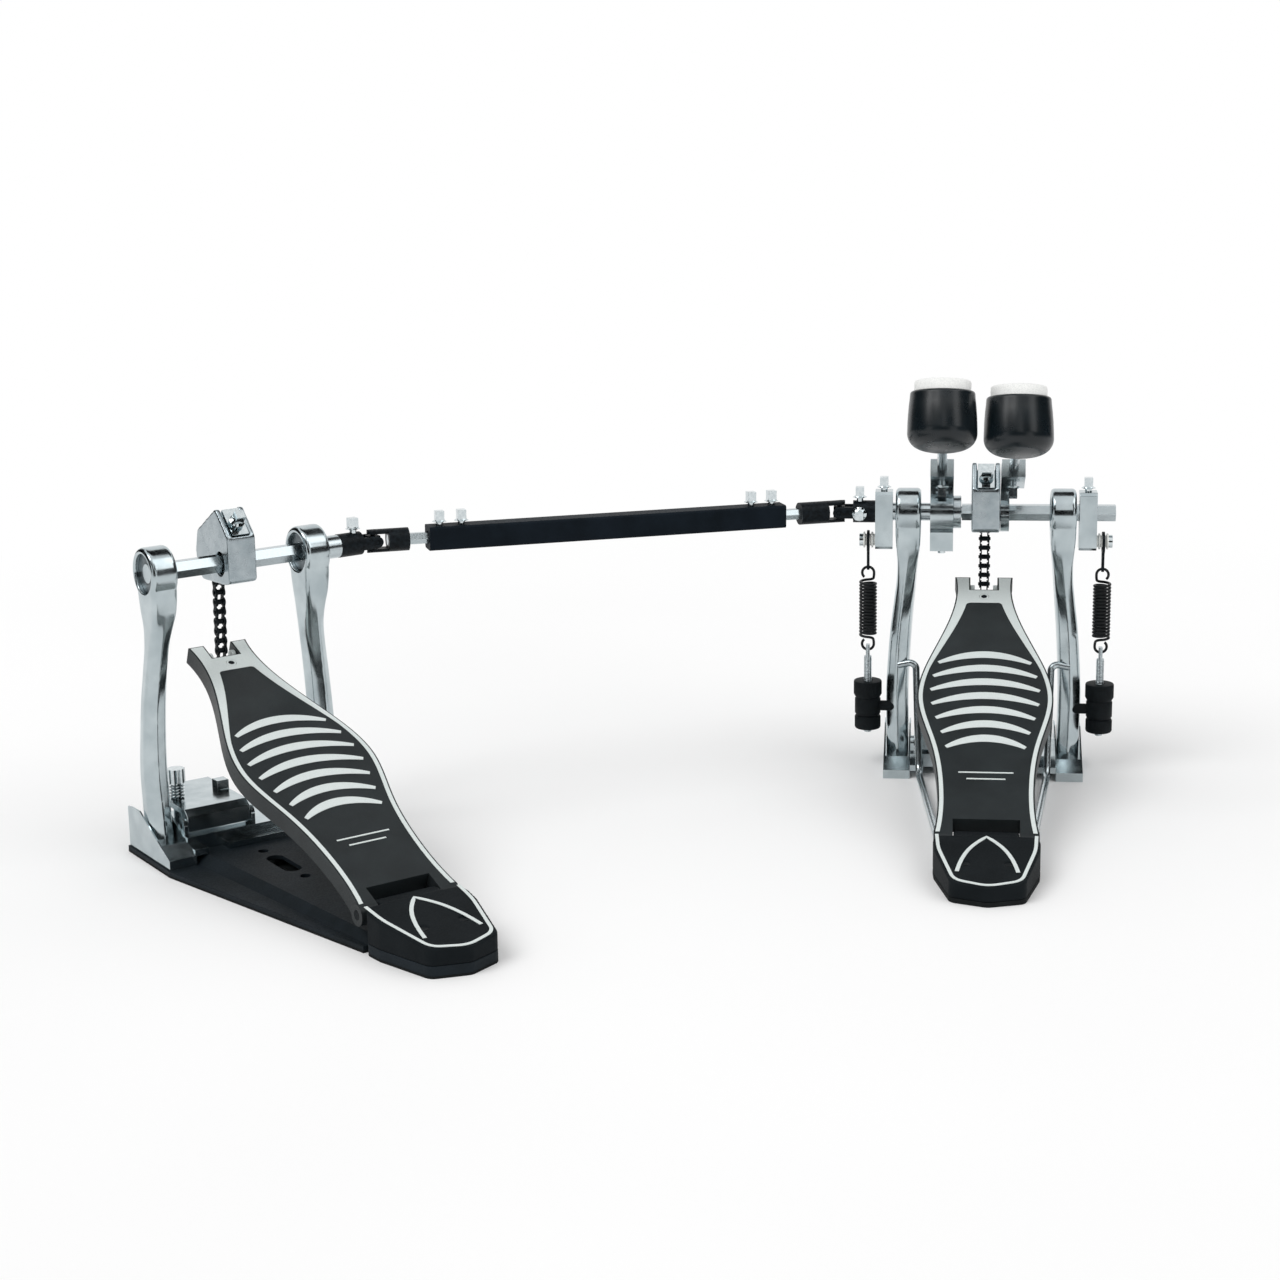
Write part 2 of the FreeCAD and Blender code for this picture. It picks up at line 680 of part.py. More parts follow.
def board_outline(inset, start, end):
    """A closed outline of the board between two stations, narrowed all round by an inset."""
    side = [(u, half) for u, half in BOARD_STATIONS if start <= u <= end]
    right = [V(half - inset, u, 0) for u, half in side]
    if end >= BOARD_LENGTH:
        right.append(V(TOE_HALF - inset, end, 0))
    curves = []
    for points in (right, [V(-p.x, p.y, 0) for p in reversed(right)]):
        curve = Part.BSplineCurve()
        curve.interpolate(points)
        curves.append(curve.toShape())
    toe = Part.LineSegment(right[-1], V(-right[-1].x, right[-1].y, 0)).toShape()
    heel = Part.LineSegment(V(-right[0].x, right[0].y, 0), right[0]).toShape()
    return Part.Face(Part.Wire([curves[0], toe, curves[1], heel]))


def footboard(tilt):
    """The board with its knuckles, hollow underside and forked toe, and its toe screw."""
    top, bottom = BOARD_KNUCKLE_R, BOARD_KNUCKLE_R - BOARD_T
    plate = board_outline(0, 0, BOARD_LENGTH)
    plate.translate(V(0, 0, bottom))
    knuckle_half = BOARD_SIDE[0][1]
    knuckle = bar_x(BOARD_KNUCKLE_R, (-knuckle_half, knuckle_half), 0, 0)
    board = join([plate.extrude(V(0, 0, BOARD_T)), knuckle])
    hollow = board_outline(BOARD_WALL, BOARD_STATIONS[1][0], BOARD_LENGTH - TOE_SOLID)
    hollow.translate(V(0, 0, bottom))
    notch_x = TONGUE_HALF + SIDE_GAP
    fork = (BOARD_LENGTH - TOE_NOTCH_DEPTH, BOARD_LENGTH)
    tall = (-2 * BOARD_T, 2 * BOARD_T)
    pin = bar_x(HINGE_PIN_R + FIT, (-knuckle_half, knuckle_half), 0, 0)
    toe_pin = bar_x(TOE_PIN_R + FIT, (-TOE_PIN_HALF, TOE_PIN_HALF), TOE_PIN_U, 0)
    shank = rod(TOE_SCREW_R / 2, V(0, TOE_SCREW_U, bottom), V(0, TOE_SCREW_U, top))
    head = rod(TOE_SCREW_R, V(0, TOE_SCREW_U, top - TOE_SCREW_R / 2), V(0, TOE_SCREW_U, top))
    screw = shank.fuse(head).removeSplitter()
    board = board.cut([hollow.extrude(V(0, 0, BOARD_T - BOARD_SKIN)), pin, toe_pin, screw,
                       box((-notch_x, notch_x), (-2 * BOARD_KNUCKLE_R, TONGUE_NOTCH_U), tall),
                       box((-TOE_NOTCH_HALF, TOE_NOTCH_HALF), fork, tall)])
    return [turned_x(piece, tilt, V(0, HINGE_Y, HINGE_Z)) for piece in (board, screw)]


def toe_pin_at(tilt):
    """The toe pin's place in the pedal's frame."""
    turn = math.radians(tilt)
    return V(0, HINGE_Y + TOE_PIN_U * math.cos(turn), HINGE_Z + TOE_PIN_U * math.sin(turn))


def link(x, station):
    """One chain plate between two pins."""
    low, high = V(x[0], 0, station), V(x[0], 0, station + PITCH)
    bar = box(x, (-LINK_R, LINK_R), (low.z, high.z))
    return [bar] + [rod(LINK_R, p, p + X * (x[1] - x[0])) for p in (low, high)]


def chain(tilt):
    """A roller chain from the toe pin, tangent to the cam's chain circle on the drum side."""
    pin = toe_pin_at(tilt)
    to_axle = V(0, 0, AXLE_H) - pin
    lean = math.atan2(to_axle.y, to_axle.z) + math.asin(CHAIN_R / to_axle.Length)
    count = int((to_axle.z + CHAIN_TOP) / PITCH)
    pieces = [bar_x(TOE_PIN_R, (-TOE_PIN_HALF, TOE_PIN_HALF), 0, 0)]
    for i in range(count):
        inner = ROLLER_HALF + LINK_T * (i % 2)
        for x in ((inner, inner + LINK_T), (-inner - LINK_T, -inner)):
            pieces += link(x, i * PITCH)
        pieces.append(bar_x(CHAIN_PIN_R, (-CHAIN_HALF, CHAIN_HALF), 0, (i + 1) * PITCH))
        pieces.append(bar_x(ROLLER_R, (-ROLLER_HALF, ROLLER_HALF), 0, (i + 1) * PITCH))
    return turned_x(join(pieces), -math.degrees(lean), pin)


# Axles, cams and bolts

def key_bolt(depth):
    """A square-headed bolt along Z, its seat at the origin and its shank below."""
    shank = rod(BOLT_R, V(0, 0, -depth), V(0, 0, BOLT_STAND))
    flange = Part.makeCone(BOLT_FLANGE_R, BOLT_R, BOLT_FLANGE_T, V(0, 0, BOLT_STAND))
    half = BOLT_SQUARE / 2
    base = BOLT_STAND + BOLT_FLANGE_T / 2
    head = box((-half, half), (-half, half), (base, base + BOLT_HEAD_H))
    return join([shank, flange, head])


def bolt_on(seat, outward, depth):
    """A key bolt on a seat, its head pointing outward."""
    across = X if abs(outward.x) < 0.5 else Y
    return moved(key_bolt(depth), frame_at(seat, across.cross(outward), outward))


def cam_face():
    """Start, direction and outward normal of the cam's sloping face, in the pedal's frame."""
    (y0, z0), (y1, z1) = CAM_POINTS[1], CAM_POINTS[2]
    along = V(0, y1 - y0, z1 - z0).normalize()
    return V(0, y0, z0 + AXLE_H), along, V(0, -along.z, along.y)


def strap_block(half, low, high, start, end):
    """A block along the cam's sloping face, between two depths from the face."""
    origin, along, outward = cam_face()
    return moved(box((start, end), (-half, half), (low, high)), frame_at(origin, along, outward))


def cam_clamp():
    """The strap on the cam and its key bolt."""
    origin, along, outward = cam_face()
    strap = strap_block(STRAP_W / 2, STRAP_PROUD - STRAP_T, STRAP_PROUD, STRAP_START, STRAP_END)
    seat = origin + along * STRAP_BOLT + outward * STRAP_PROUD
    bolt = bolt_on(seat, outward, 2 * STRAP_T)
    return [strap.cut(bolt), bolt]


def cam(clamp):
    """Two cheeks and a solid front, open to the drum for the chain."""
    ring = [V(-CHEEK_X, y, z + AXLE_H) for y, z in CAM_POINTS]
    body = Part.Face(rounded(ring, CAM_ROUND)).extrude(V(CAM_T, 0, 0))
    reach = 2 * CAM_POINTS[2][1]
    groove_x = CHEEK_X - CAM_CHEEK
    groove = box((-groove_x, groove_x), (0, reach), (AXLE_H - reach, AXLE_H + reach))
    groove = groove.cut(bar_x(CAM_WEB_R, (-groove_x, groove_x)))
    channel = strap_block(STRAP_W / 2 + SIDE_GAP, STRAP_PROUD - STRAP_T, STRAP_T,
                          STRAP_START - SIDE_GAP, 2 * STRAP_END)
    return body.cut([groove, channel, hex_x(HEX_AF, (-CHEEK_X, CHEEK_X), 0, AXLE_H)] + clamp)


def left_axle():
    """Hex axle of the left pedal, with journals, a collar and a spigot for the yoke."""
    far = HUB_X + BEARING_T / 2
    middle = hex_x(HEX_AF, (-far, far), 0, AXLE_H)
    journals = [bar_x(JOURNAL_R, span) for span in ((-far, BEARING_T - far), (far - BEARING_T, HUB_OUT))]
    collar = bar_x(COLLAR_R, (HUB_OUT, LEFT_YOKE_END))
    spigot = bar_x(SPIGOT_R, (LEFT_YOKE_END, LEFT_JOINT_X - YOKE_THROAT))
    return join([middle, collar, spigot] + journals)


def stub_shaft():
    """Short hollow shaft in the left bearing, which carries the left beater."""
    body = bar_x(JOURNAL_R, (STUB_YOKE_END, -STUB_END))
    flange = bar_x(HUB_FLANGE_R, (LEFT_BEATER_X + HOLDER_HALF_X, -STUB_END))
    spigot = bar_x(SPIGOT_R, (MAIN_JOINT_X + YOKE_THROAT, STUB_YOKE_END))
    bore = bar_x(SPIGOT_R + FIT, (-STUB_END - STUB_BORE, -STUB_END))
    return join([body, flange, spigot]).cut(bore)


def main_axle():
    """Hex axle of the right pedal: a spigot in the stub shaft and a journal in the right bearing."""
    middle = hex_x(HEX_AF, (SIDE_GAP - STUB_END, MAIN_AXLE_END), 0, AXLE_H)
    far = HUB_X + BEARING_T / 2
    journal = bar_x(JOURNAL_R, (far - BEARING_T, far))
    spigot = bar_x(SPIGOT_R, (SIDE_GAP - STUB_END - STUB_BORE, SIDE_GAP - STUB_END))
    return join([middle, journal, spigot])


# Universal joints and drive shaft

def yoke(length, hole_r, bore):
    """A yoke along +X from the cross at the origin, with its ears at plus and minus Z."""
    trunk = rod(YOKE_R, V(YOKE_THROAT, 0, 0), V(length, 0, 0))
    arms = box((0, YOKE_THROAT), (-EAR_HALF, EAR_HALF), (-YOKE_R, YOKE_R))
    arms = arms.fuse(rod(EAR_HALF, V(0, 0, -YOKE_R), V(0, 0, YOKE_R)))
    arms = arms.common(rod(YOKE_R, V(-EAR_HALF, 0, 0), V(YOKE_THROAT, 0, 0)))
    mouth = box((-EAR_HALF, YOKE_THROAT), (-YOKE_R, YOKE_R), (-EAR_INNER, EAR_INNER))
    pin_hole = rod(hole_r, V(0, 0, -YOKE_R), V(0, 0, YOKE_R))
    return join([trunk, arms.cut(mouth)]).cut([pin_hole, bore])


def cross():
    """A block with four pins, along Y and Z."""
    block = box((-CROSS_HALF, CROSS_HALF), (-CROSS_HALF, CROSS_HALF), (-CROSS_HALF, CROSS_HALF))
    tip = YOKE_R - SIDE_GAP
    return join([block, rod(CROSS_PIN_R, Y * -tip, Y * tip), rod(CROSS_PIN_R, Z * -tip, Z * tip)])


class Joint:
    """A universal joint's centre, the two pins' directions and the shaft's direction away from it."""

    def __init__(self, centre, axle_pin, shaft):
        self.centre = centre
        self.axle_pin = V(axle_pin)
        self.shaft = V(shaft).normalize()
        self.shaft_pin = self.shaft.cross(self.axle_pin).normalize()

    def place_cross(self):
        return frame_at(self.centre, self.axle_pin.cross(self.shaft_pin), self.shaft_pin)

    def place_shaft_yoke(self):
        return frame_at(self.centre, self.shaft, self.shaft_pin)


def joints():
    """The left and the main universal joint."""
    place = left_place()
    left = place.multVec(V(LEFT_JOINT_X, 0, AXLE_H))
    main = V(MAIN_JOINT_X, 0, AXLE_H)
    return Joint(left, place.Rotation.multVec(Y), main - left), Joint(main, Y, left - main)


def yoke_bolt(x, outward):
    """A key bolt in an axle's yoke, its tip on the spigot."""
    spigot = bar_x(SPIGOT_R, (x - YOKE_BOLT, x + YOKE_BOLT))
    return bolt_on(V(x, 0, AXLE_H) + outward * YOKE_R, outward, YOKE_R).cut(spigot)


def axle_yoke(x, length, along, bolts):
    """A yoke on an axle's spigot, with its ears level, in the pedal's frame."""
    bore = rod(SPIGOT_R, V(YOKE_THROAT, 0, 0), V(length, 0, 0))
    piece = yoke(length, CROSS_PIN_R + FIT, bore)
    return moved(piece, frame_at(V(x, 0, AXLE_H), along, Y)).cut(bolts)


def drive_shaft(left, main):
    """Yokes, hex rods, square tube and bolts between the two joints."""
    span = (main.centre - left.centre).Length
    tube = (TUBE_START, span - TUBE_END)
    half = TUBE_W / 2
    square = [V(tube[0], y, z) for y, z in ((-half, -half), (half, -half), (half, half), (-half, half))]
    body = Part.Face(rounded(square, TUBE_ROUND)).extrude(V(tube[1] - tube[0], 0, 0))
    body = body.cut(rod(TUBE_BORE_R, V(tube[0], 0, 0), V(tube[1], 0, 0)))
    spots = [tube[0] + s for s in TUBE_BOLTS] + [tube[1] - s for s in TUBE_BOLTS]
    bolts = [bolt_on(V(s, 0, half), Z, half - ROD_AF / 2 - FIT) for s in spots]
    place = left.place_shaft_yoke()
    rods, yokes = [], []
    for joint, length, start in ((left, SHAFT_YOKE_LEFT, TUBE_START), (main, SHAFT_YOKE_MAIN, TUBE_END)):
        bar = hex_x(ROD_AF, (YOKE_THROAT, start + TUBE_GRIP))
        rods.append(moved(bar, joint.place_shaft_yoke()))
        yokes.append(moved(yoke(length, CROSS_PIN_R + LOOSE, bar), joint.place_shaft_yoke()))
    return {"shaft_tube": [moved(body.cut(bolts), place)], "shaft_bolts": [moved(b, place) for b in bolts],
            "shaft_rods": rods, "shaft_yokes": yokes}


# Beaters and what holds them, drawn upright about the axle and then leaned back

def leaned(shape, x):
    """An upright shape about the axle, leaned back and set at its place along the axle."""
    return turned_x(shape, LEAN_ANGLE, V(x, 0, AXLE_H))


def rod_bore():
    """The bore for a beater's rod."""
    return rod(ROD_R + FIT, V(0, ROD_OFFSET, ROD_BORE_START), V(0, ROD_OFFSET, HOLDER_END))


def holder_block(neck_x, ring_r):
    """The grip for a beater rod on its neck, still without its bore, and its bolt."""
    bolt = bolt_on(V(0, HOLDER_LOW, HOLDER_BOLT), -Y, ROD_OFFSET - HOLDER_LOW).cut(rod_bore())
    high = HOLDER_LOW + HOLDER_T
    grip = box((-HOLDER_HALF_X, HOLDER_HALF_X), (HOLDER_LOW, high), (HOLDER_START, HOLDER_END))
    side = [(-ring_r, 0), (-NECK_HALF, NECK_END), (high, NECK_END), (high, HOLDER_START), (ring_r, 0)]
    return join([grip, slab_x(side, neck_x)]), bolt


def left_beater_hub():
    """Ring on the stub shaft with a grip for the rod above and a set screw in its tail."""
    block, bolt = holder_block((-HOLDER_HALF_X, HOLDER_HALF_X), HUB_RING_R)
    bolt = leaned(bolt, LEFT_BEATER_X)
    span = (LEFT_BEATER_X - HOLDER_HALF_X, LEFT_BEATER_X + HOLDER_HALF_X)
    ring = bar_x(HUB_RING_R, span)
    tail = box(span, (-HUB_TAIL_HALF, HUB_TAIL_HALF), (AXLE_H - HUB_TAIL, AXLE_H))
    shaft = bar_x(JOURNAL_R, span)
    low = V(LEFT_BEATER_X, 0, AXLE_H - HUB_TAIL - SET_SCREW_R)
    screw = rod(SET_SCREW_R, low, V(LEFT_BEATER_X, 0, AXLE_H)).cut(shaft)
    hub = join([leaned(block, LEFT_BEATER_X), ring, tail])
    hub = hub.cut([leaned(rod_bore(), LEFT_BEATER_X), shaft, bolt, screw])
    return hub, [bolt, screw]


def right_beater_holder():
    """Grip for the right beater's rod on a thin arm beside the cam."""
    inner = CHEEK_X + HOLDER_GAP
    arm = (inner, inner + CLAMP_RING_T)
    block, bolt = holder_block([x - RIGHT_BEATER_X for x in arm], CLAMP_RING_R)
    bolt = leaned(bolt, RIGHT_BEATER_X)
    holder = join([leaned(block, RIGHT_BEATER_X), bar_x(CLAMP_RING_R, arm)])
    shaft = hex_x(HEX_AF, (inner, 2 * RIGHT_BEATER_X), 0, AXLE_H)
    return holder.cut([leaned(rod_bore(), RIGHT_BEATER_X), shaft, bolt]), bolt


def beater(head_at, x):
    """Rod, black shell with a sloping rim and felt of one beater."""
    centre = V(0, ROD_OFFSET, head_at)
    stem = rod(ROD_R, V(0, ROD_OFFSET, ROD_START), centre - Z * (HEAD_R / 2))
    shell = rod(HEAD_R, Y * -HEAD_BACK, Y * (HEAD_FRONT + HEAD_R))
    back = [e for e in shell.Edges if e.Closed and e.CenterOfMass.y < 0]
    shell = shell.makeFillet(min(HEAD_ROUND, 0.6 * HEAD_R), back)
    room = (-2 * HEAD_R, 2 * HEAD_R)
    beyond = box(room, (HEAD_FRONT, HEAD_FRONT + 2 * HEAD_R), room)
    shell = shell.cut(turned_x(beyond, FACE_ANGLE, V(0, 0, 0)))
    rim = [e for e in shell.Edges if e.Closed and abs(e.CenterOfMass.y - HEAD_FRONT) < HEAD_RIM_ROUND]
    shell = turned_x(shell.makeFillet(HEAD_RIM_ROUND, rim), 0, centre)
    felt = rod(FELT_R, Y * (HEAD_FRONT - FELT_SEAT), Y * (HEAD_FRONT + FELT_PROUD))
    felt = turned_x(felt, FACE_ANGLE, centre)
    return [leaned(piece, x) for piece in (stem, shell.cut([stem, felt]), felt)]


# Return springs, drawn for the right side and mirrored for the left

def spring_block(shaft):
    """Crank block on an axle, its key bolt, bush and pan screw."""
    x = (BLOCK_IN, BLOCK_IN + BLOCK_T)
    y, up, down = BLOCK_HALF_Y, AXLE_H + BLOCK_UP, AXLE_H - BLOCK_DOWN
    flat_y, flat_up, flat_down = y - BLOCK_CHAMFER, up - BLOCK_CHAMFER, down + BLOCK_CHAMFER
    side = [(-flat_y, down), (flat_y, down), (y, flat_down), (y, flat_up),
            (flat_y, up), (-flat_y, up), (-y, flat_up), (-y, flat_down)]
    bolt = bolt_on(V(BLOCK_IN + BLOCK_T / 2, 0, up), Z, BLOCK_UP).cut(shaft)
    crank_z = AXLE_H - CRANK
    groove = (SPRING_X - BUSH_GROOVE / 2, SPRING_X + BUSH_GROOVE / 2)
    outer = (groove[1], groove[1] + BUSH_FLANGE_T)
    inner = (groove[0] - BUSH_FLANGE_T, groove[0])
    bush = join([bar_x(BUSH_R, (x[1], outer[1]), 0, crank_z), bar_x(BUSH_FLANGE_R, inner, 0, crank_z),
                 bar_x(BUSH_FLANGE_R, outer, 0, crank_z)])
    screw = join([bar_x(PAN_SHANK_R, (x[0] + BLOCK_CHAMFER, outer[1]), 0, crank_z),
                  bar_x(PAN_R, (outer[1], outer[1] + PAN_T), 0, crank_z)])
    block = slab_x(side, x).cut([shaft, bolt, screw])
    return block, bush.cut(screw), [bolt, screw]


def spring_hook():
    """A flat black hook from the bush down to the coil."""
    hole_r = BUSH_R + HOOK_PLAY
    centre_z = AXLE_H - CRANK - (hole_r - BUSH_R - HOOK_SEAT)
    eye_z = hook_eye_z()
    x = (SPRING_X - HOOK_T / 2, SPRING_X + HOOK_T / 2)
    shank = box(x, (-HOOK_W / 2, HOOK_W / 2), (eye_z, centre_z))
    plate = join([bar_x(hole_r + HOOK_RIM, x, 0, centre_z), shank, bar_x(HOOK_W / 2, x, 0, eye_z)])
    return plate.cut([bar_x(hole_r, x, 0, centre_z), bar_x(EYE_R, x, 0, eye_z)])


def hook_eye_z():
    """Height of the hook's lower eye."""
    return AXLE_H - CRANK - HOOK_DROP


def coil_middle_z():
    """Height of a return spring's middle, its upper loop just under the hook's eye."""
    return hook_eye_z() - (EYE_R - COIL_WIRE / 2 - HOOK_SEAT) - coil_half_length()


def rod_eye_z():
    """Height of the threaded rod's eye, just over the coil's lower loop."""
    return coil_middle_z() - coil_half_length() + (EYE_R - COIL_WIRE / 2 - HOOK_SEAT)


def spring_rod():
    """Threaded rod with a flattened eye."""
    eye_z = rod_eye_z()
    top, low = eye_z + 2 * EYE_R, STUD_Z - HOLDER_H / 2 - NUT_LOW_H - THREAD_TAIL
    bar = rod(THREAD_R, V(SPRING_X, 0, low), V(SPRING_X, 0, top))
    tall = (eye_z - 3 * EYE_R, top)
    flats = [box((SPRING_X + EYE_FLAT, SPRING_X + THREAD_R), (-THREAD_R, THREAD_R), tall),
             box((SPRING_X - THREAD_R, SPRING_X - EYE_FLAT), (-THREAD_R, THREAD_R), tall)]
    return bar.cut(flats + [bar_x(EYE_R, (SPRING_X - THREAD_R, SPRING_X + THREAD_R), 0, eye_z)])


def spring_holder(stem):
    """Holder on the post's stud between two knurled nuts."""
    body = rod(HOLDER_R, V(SPRING_X, 0, STUD_Z - HOLDER_H / 2), V(SPRING_X, 0, STUD_Z + HOLDER_H / 2))
    bore = bar_x(STUD_R + FIT, (SPRING_X - 2 * HOLDER_R, stud_end() + SIDE_GAP), 0, STUD_Z)
    nuts = []
    for radius, height, low in ((NUT_R, NUT_TOP_H, STUD_Z + HOLDER_H / 2),
                                (NUT_LOW_R, NUT_LOW_H, STUD_Z - HOLDER_H / 2 - NUT_LOW_H)):
        nut = star(radius, NUT_GROOVE_D, NUT_GROOVE_COUNT, height)
        nut.translate(V(SPRING_X, 0, low))
        nuts.append(nut.cut(stem))
    return [body.cut([stem, bore])] + nuts


def stud_end():
    """How far out a post's stud reaches, short of the threaded rod."""
    return SPRING_X - THREAD_R - SIDE_GAP - FIT


def spring_stud():
    """A stud in the right post for the spring's holder."""
    return bar_x(STUD_R, (HUB_X + POST_SPREAD + STUD_DEPTH - POST_HALF_X, stud_end()), 0, STUD_Z)


# Hoop clamp

def clamp_jaw():
    """Upper jaw: front wall on its pin, top plate with an ear, and nose over the casting's lip."""
    low, nose_y, nose_z = JAW_TOP - JAW_T, LIP_BACK - JAW_NOSE, JAW_TOP - JAW_T - JAW_NOSE_H
    front, back, foot = JAW_Y - JAW_BARREL_R, JAW_Y + JAW_BARREL_R, JAW_Z - JAW_BARREL_R
    side = [(front, foot), (back, foot), (back, low), (nose_y, low), (nose_y, nose_z), (LIP_BACK, nose_z),
            (LIP_BACK, JAW_TOP), (JAW_FACE_Y, JAW_TOP), (front, low)]
    ear = box((JAW_X[1] - JAW_EAR_W, JAW_X[1]), (SCREW_Y, SCREW_Y + JAW_EAR_W),
              (JAW_TOP, JAW_TOP + JAW_EAR_H))
    jaw = join([slab_x(side, JAW_X), ear])
    pin = bar_x(JAW_PIN_R + FIT, JAW_X, JAW_Y, JAW_Z)
    hole_r = SCREW_R + SCREW_PLAY
    hole = rod(hole_r, V(SCREW_X, SCREW_Y, low - JAW_T), V(SCREW_X, SCREW_Y, JAW_TOP + JAW_T))
    return jaw.cut([pin, hole])


def clamp_screw():
    """Knurled screw in the casting and the spring under its head, which it carries."""
    foot = JAW_TOP + CLAMP_COIL_GAP + CLAMP_WIRE / 2
    knob_z = foot + CLAMP_PITCH * CLAMP_TURNS + CLAMP_WIRE / 2
    stem = rod(SCREW_R, V(SCREW_X, SCREW_Y, BAR_Z + 2 * CLAMP_WIRE), V(SCREW_X, SCREW_Y, knob_z))
    knob = star(KNOB_R, NUT_GROOVE_D, KNOB_GROOVE_COUNT, KNOB_H)
    knob.translate(V(SCREW_X, SCREW_Y, knob_z))
    edges = helix(CLAMP_COIL_R, CLAMP_PITCH, 0, 2 * math.pi * CLAMP_TURNS)
    coil = wound(edges, CLAMP_WIRE, "clamp spring")
    coil.translate(V(SCREW_X, SCREW_Y, foot))
    return [stem.fuse(knob).removeSplitter(), coil]


# The whole object

def left_pedal():
    """The left pedal's nodes in its own frame."""
    pins = [hinge_pin(), jaw_pin()] + heel_screws()
    bolt = yoke_bolt(LEFT_JOINT_X - YOKE_BOLT, Z)
    clamp = cam_clamp()
    return {
        "left_rubber_mat": [rubber_mat()], "left_base_plate": [base_plate()],
        "left_frame_casting": [frame_casting([jaw_pin()])], "left_posts": posts([]),
        "left_heel_plate": [heel_plate([hinge_pin()] + heel_screws())],
        "left_footboard": footboard(LEFT_BOARD_TILT), "left_chain": [chain(LEFT_BOARD_TILT)],
        "left_axle": [left_axle()], "left_cam": [cam(clamp)], "left_cam_clamp": clamp,
        "left_yoke": [axle_yoke(LEFT_JOINT_X, LEFT_JOINT_X - LEFT_YOKE_END, -X, [bolt])],
        "left_yoke_bolt": [bolt], "left_clamp_jaw": [clamp_jaw()], "left_clamp_screw": clamp_screw(),
        "frame_pins": pins, "axle_bearings": bearings(),
    }


def main_pedal():
    """The right pedal's nodes, with both beaters and return springs."""
    stay, stud = stay_rod(), spring_stud()
    stays, studs = [stay, mirrored(stay)], [stud, mirrored(stud)]
    clamp = cam_clamp()
    hub, hub_bolts = left_beater_hub()
    holder, holder_bolt = right_beater_holder()
    yoke_bolts = [yoke_bolt(MAIN_JOINT_X + YOKE_BOLT, outward) for outward in (Z, -Y)]
    span = (BLOCK_IN, BLOCK_IN + BLOCK_T)
    right_block, right_bush, right_bolts = spring_block(hex_x(HEX_AF, span, 0, AXLE_H))
    left_block, left_bush, left_bolts = [s if isinstance(s, list) else mirrored(s) for s in
                                         spring_block(bar_x(JOURNAL_R, span))]
    stem, hook, coil = spring_rod(), spring_hook(), return_coil()
    coil.translate(V(SPRING_X, 0, coil_middle_z()))
    nut_parts = spring_holder(stem)
    nodes = {
        "main_frame_casting": [frame_casting([jaw_pin()])], "main_posts": posts(studs + stays),
        "main_heel_plate": [heel_plate([hinge_pin()] + heel_screws() + stays)],
        "main_heel_foot": [heel_slab(0, HEEL_PAD).cut(stays)],
        "main_footboard": footboard(MAIN_BOARD_TILT), "main_chain": [chain(MAIN_BOARD_TILT)],
        "stay_rod_right": [stays[0]], "stay_rod_left": [stays[1]],
        "main_axle": [main_axle()], "main_cam": [cam(clamp)], "main_cam_clamp": clamp,
        "right_beater_holder": [holder], "main_axle_bolts": [holder_bolt] + right_bolts,
        "right_spring_block": [right_block], "right_spring_bush": [right_bush],
        "stub_shaft": [stub_shaft()], "left_beater_hub": [hub],
        "stub_yoke": [axle_yoke(MAIN_JOINT_X, STUB_YOKE_END - MAIN_JOINT_X, X, yoke_bolts)],
        "left_spring_block": [left_block], "left_spring_bush": [left_bush],
        "stub_bolts": hub_bolts + yoke_bolts + [mirrored(b) for b in left_bolts],
        "main_clamp_jaw": [clamp_jaw()], "main_clamp_screw": clamp_screw(),
        "frame_pins": [hinge_pin(), jaw_pin()] + heel_screws() + studs, "axle_bearings": bearings(),
    }
    beaters = (("left", LEFT_BEATER_X, LEFT_HEAD_AT), ("right", RIGHT_BEATER_X, RIGHT_HEAD_AT))
    for name, x, head_at in beaters:
        for piece, shape in zip(("rod", "shell", "felt"), beater(head_at, x)):
            nodes[f"{name}_beater_{piece}"] = [shape]
    for piece, shapes in (("holder", nut_parts), ("rod", [stem]), ("coil", [coil]), ("hook", [hook])):
        nodes[f"right_spring_{piece}"] = shapes
        nodes[f"left_spring_{piece}"] = [mirrored(s) for s in shapes]
    return nodes


def main():
    """Build every node and write its STEP file."""
    nodes = main_pedal()
    place = left_place()
    for name, shapes in left_pedal().items():
        nodes[name] = nodes.get(name, []) + [moved(s, place) for s in shapes]
    left, main_joint = joints()
    nodes["left_joint_cross"] = [moved(cross(), left.place_cross())]
    nodes["main_joint_cross"] = [moved(cross(), main_joint.place_cross())]
    nodes.update(drive_shaft(left, main_joint))
    middle = Part.makeCompound(sum(nodes.values(), [])).BoundBox
    centring = FreeCAD.Placement(V(-middle.Center.x, -middle.Center.y, 0), FreeCAD.Rotation())
    print("right pedal's axle at", round(centring.Base.x, 3), round(centring.Base.y, 3))
    os.makedirs("parts", exist_ok=True)
    for name, shapes in nodes.items():
        centred = [moved(s, centring) for s in shapes]
        shape = centred[0] if len(centred) == 1 else Part.makeCompound(centred)
        shape.exportStep(f"parts/{name}.step")
    print(len(nodes), "nodes")


main()
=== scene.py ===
# %% [markdown]
# # A double bass drum pedal
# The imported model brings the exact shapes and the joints. This script dresses it: it rounds the
# edges that a casting or a press would leave, adds the trim, threads and felt, and gives every
# piece a finish. All lengths are in metres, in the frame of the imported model.

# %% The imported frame
import json
import math

import bmesh
import bpy
import numpy as np
from mathutils import Matrix, Vector, noise


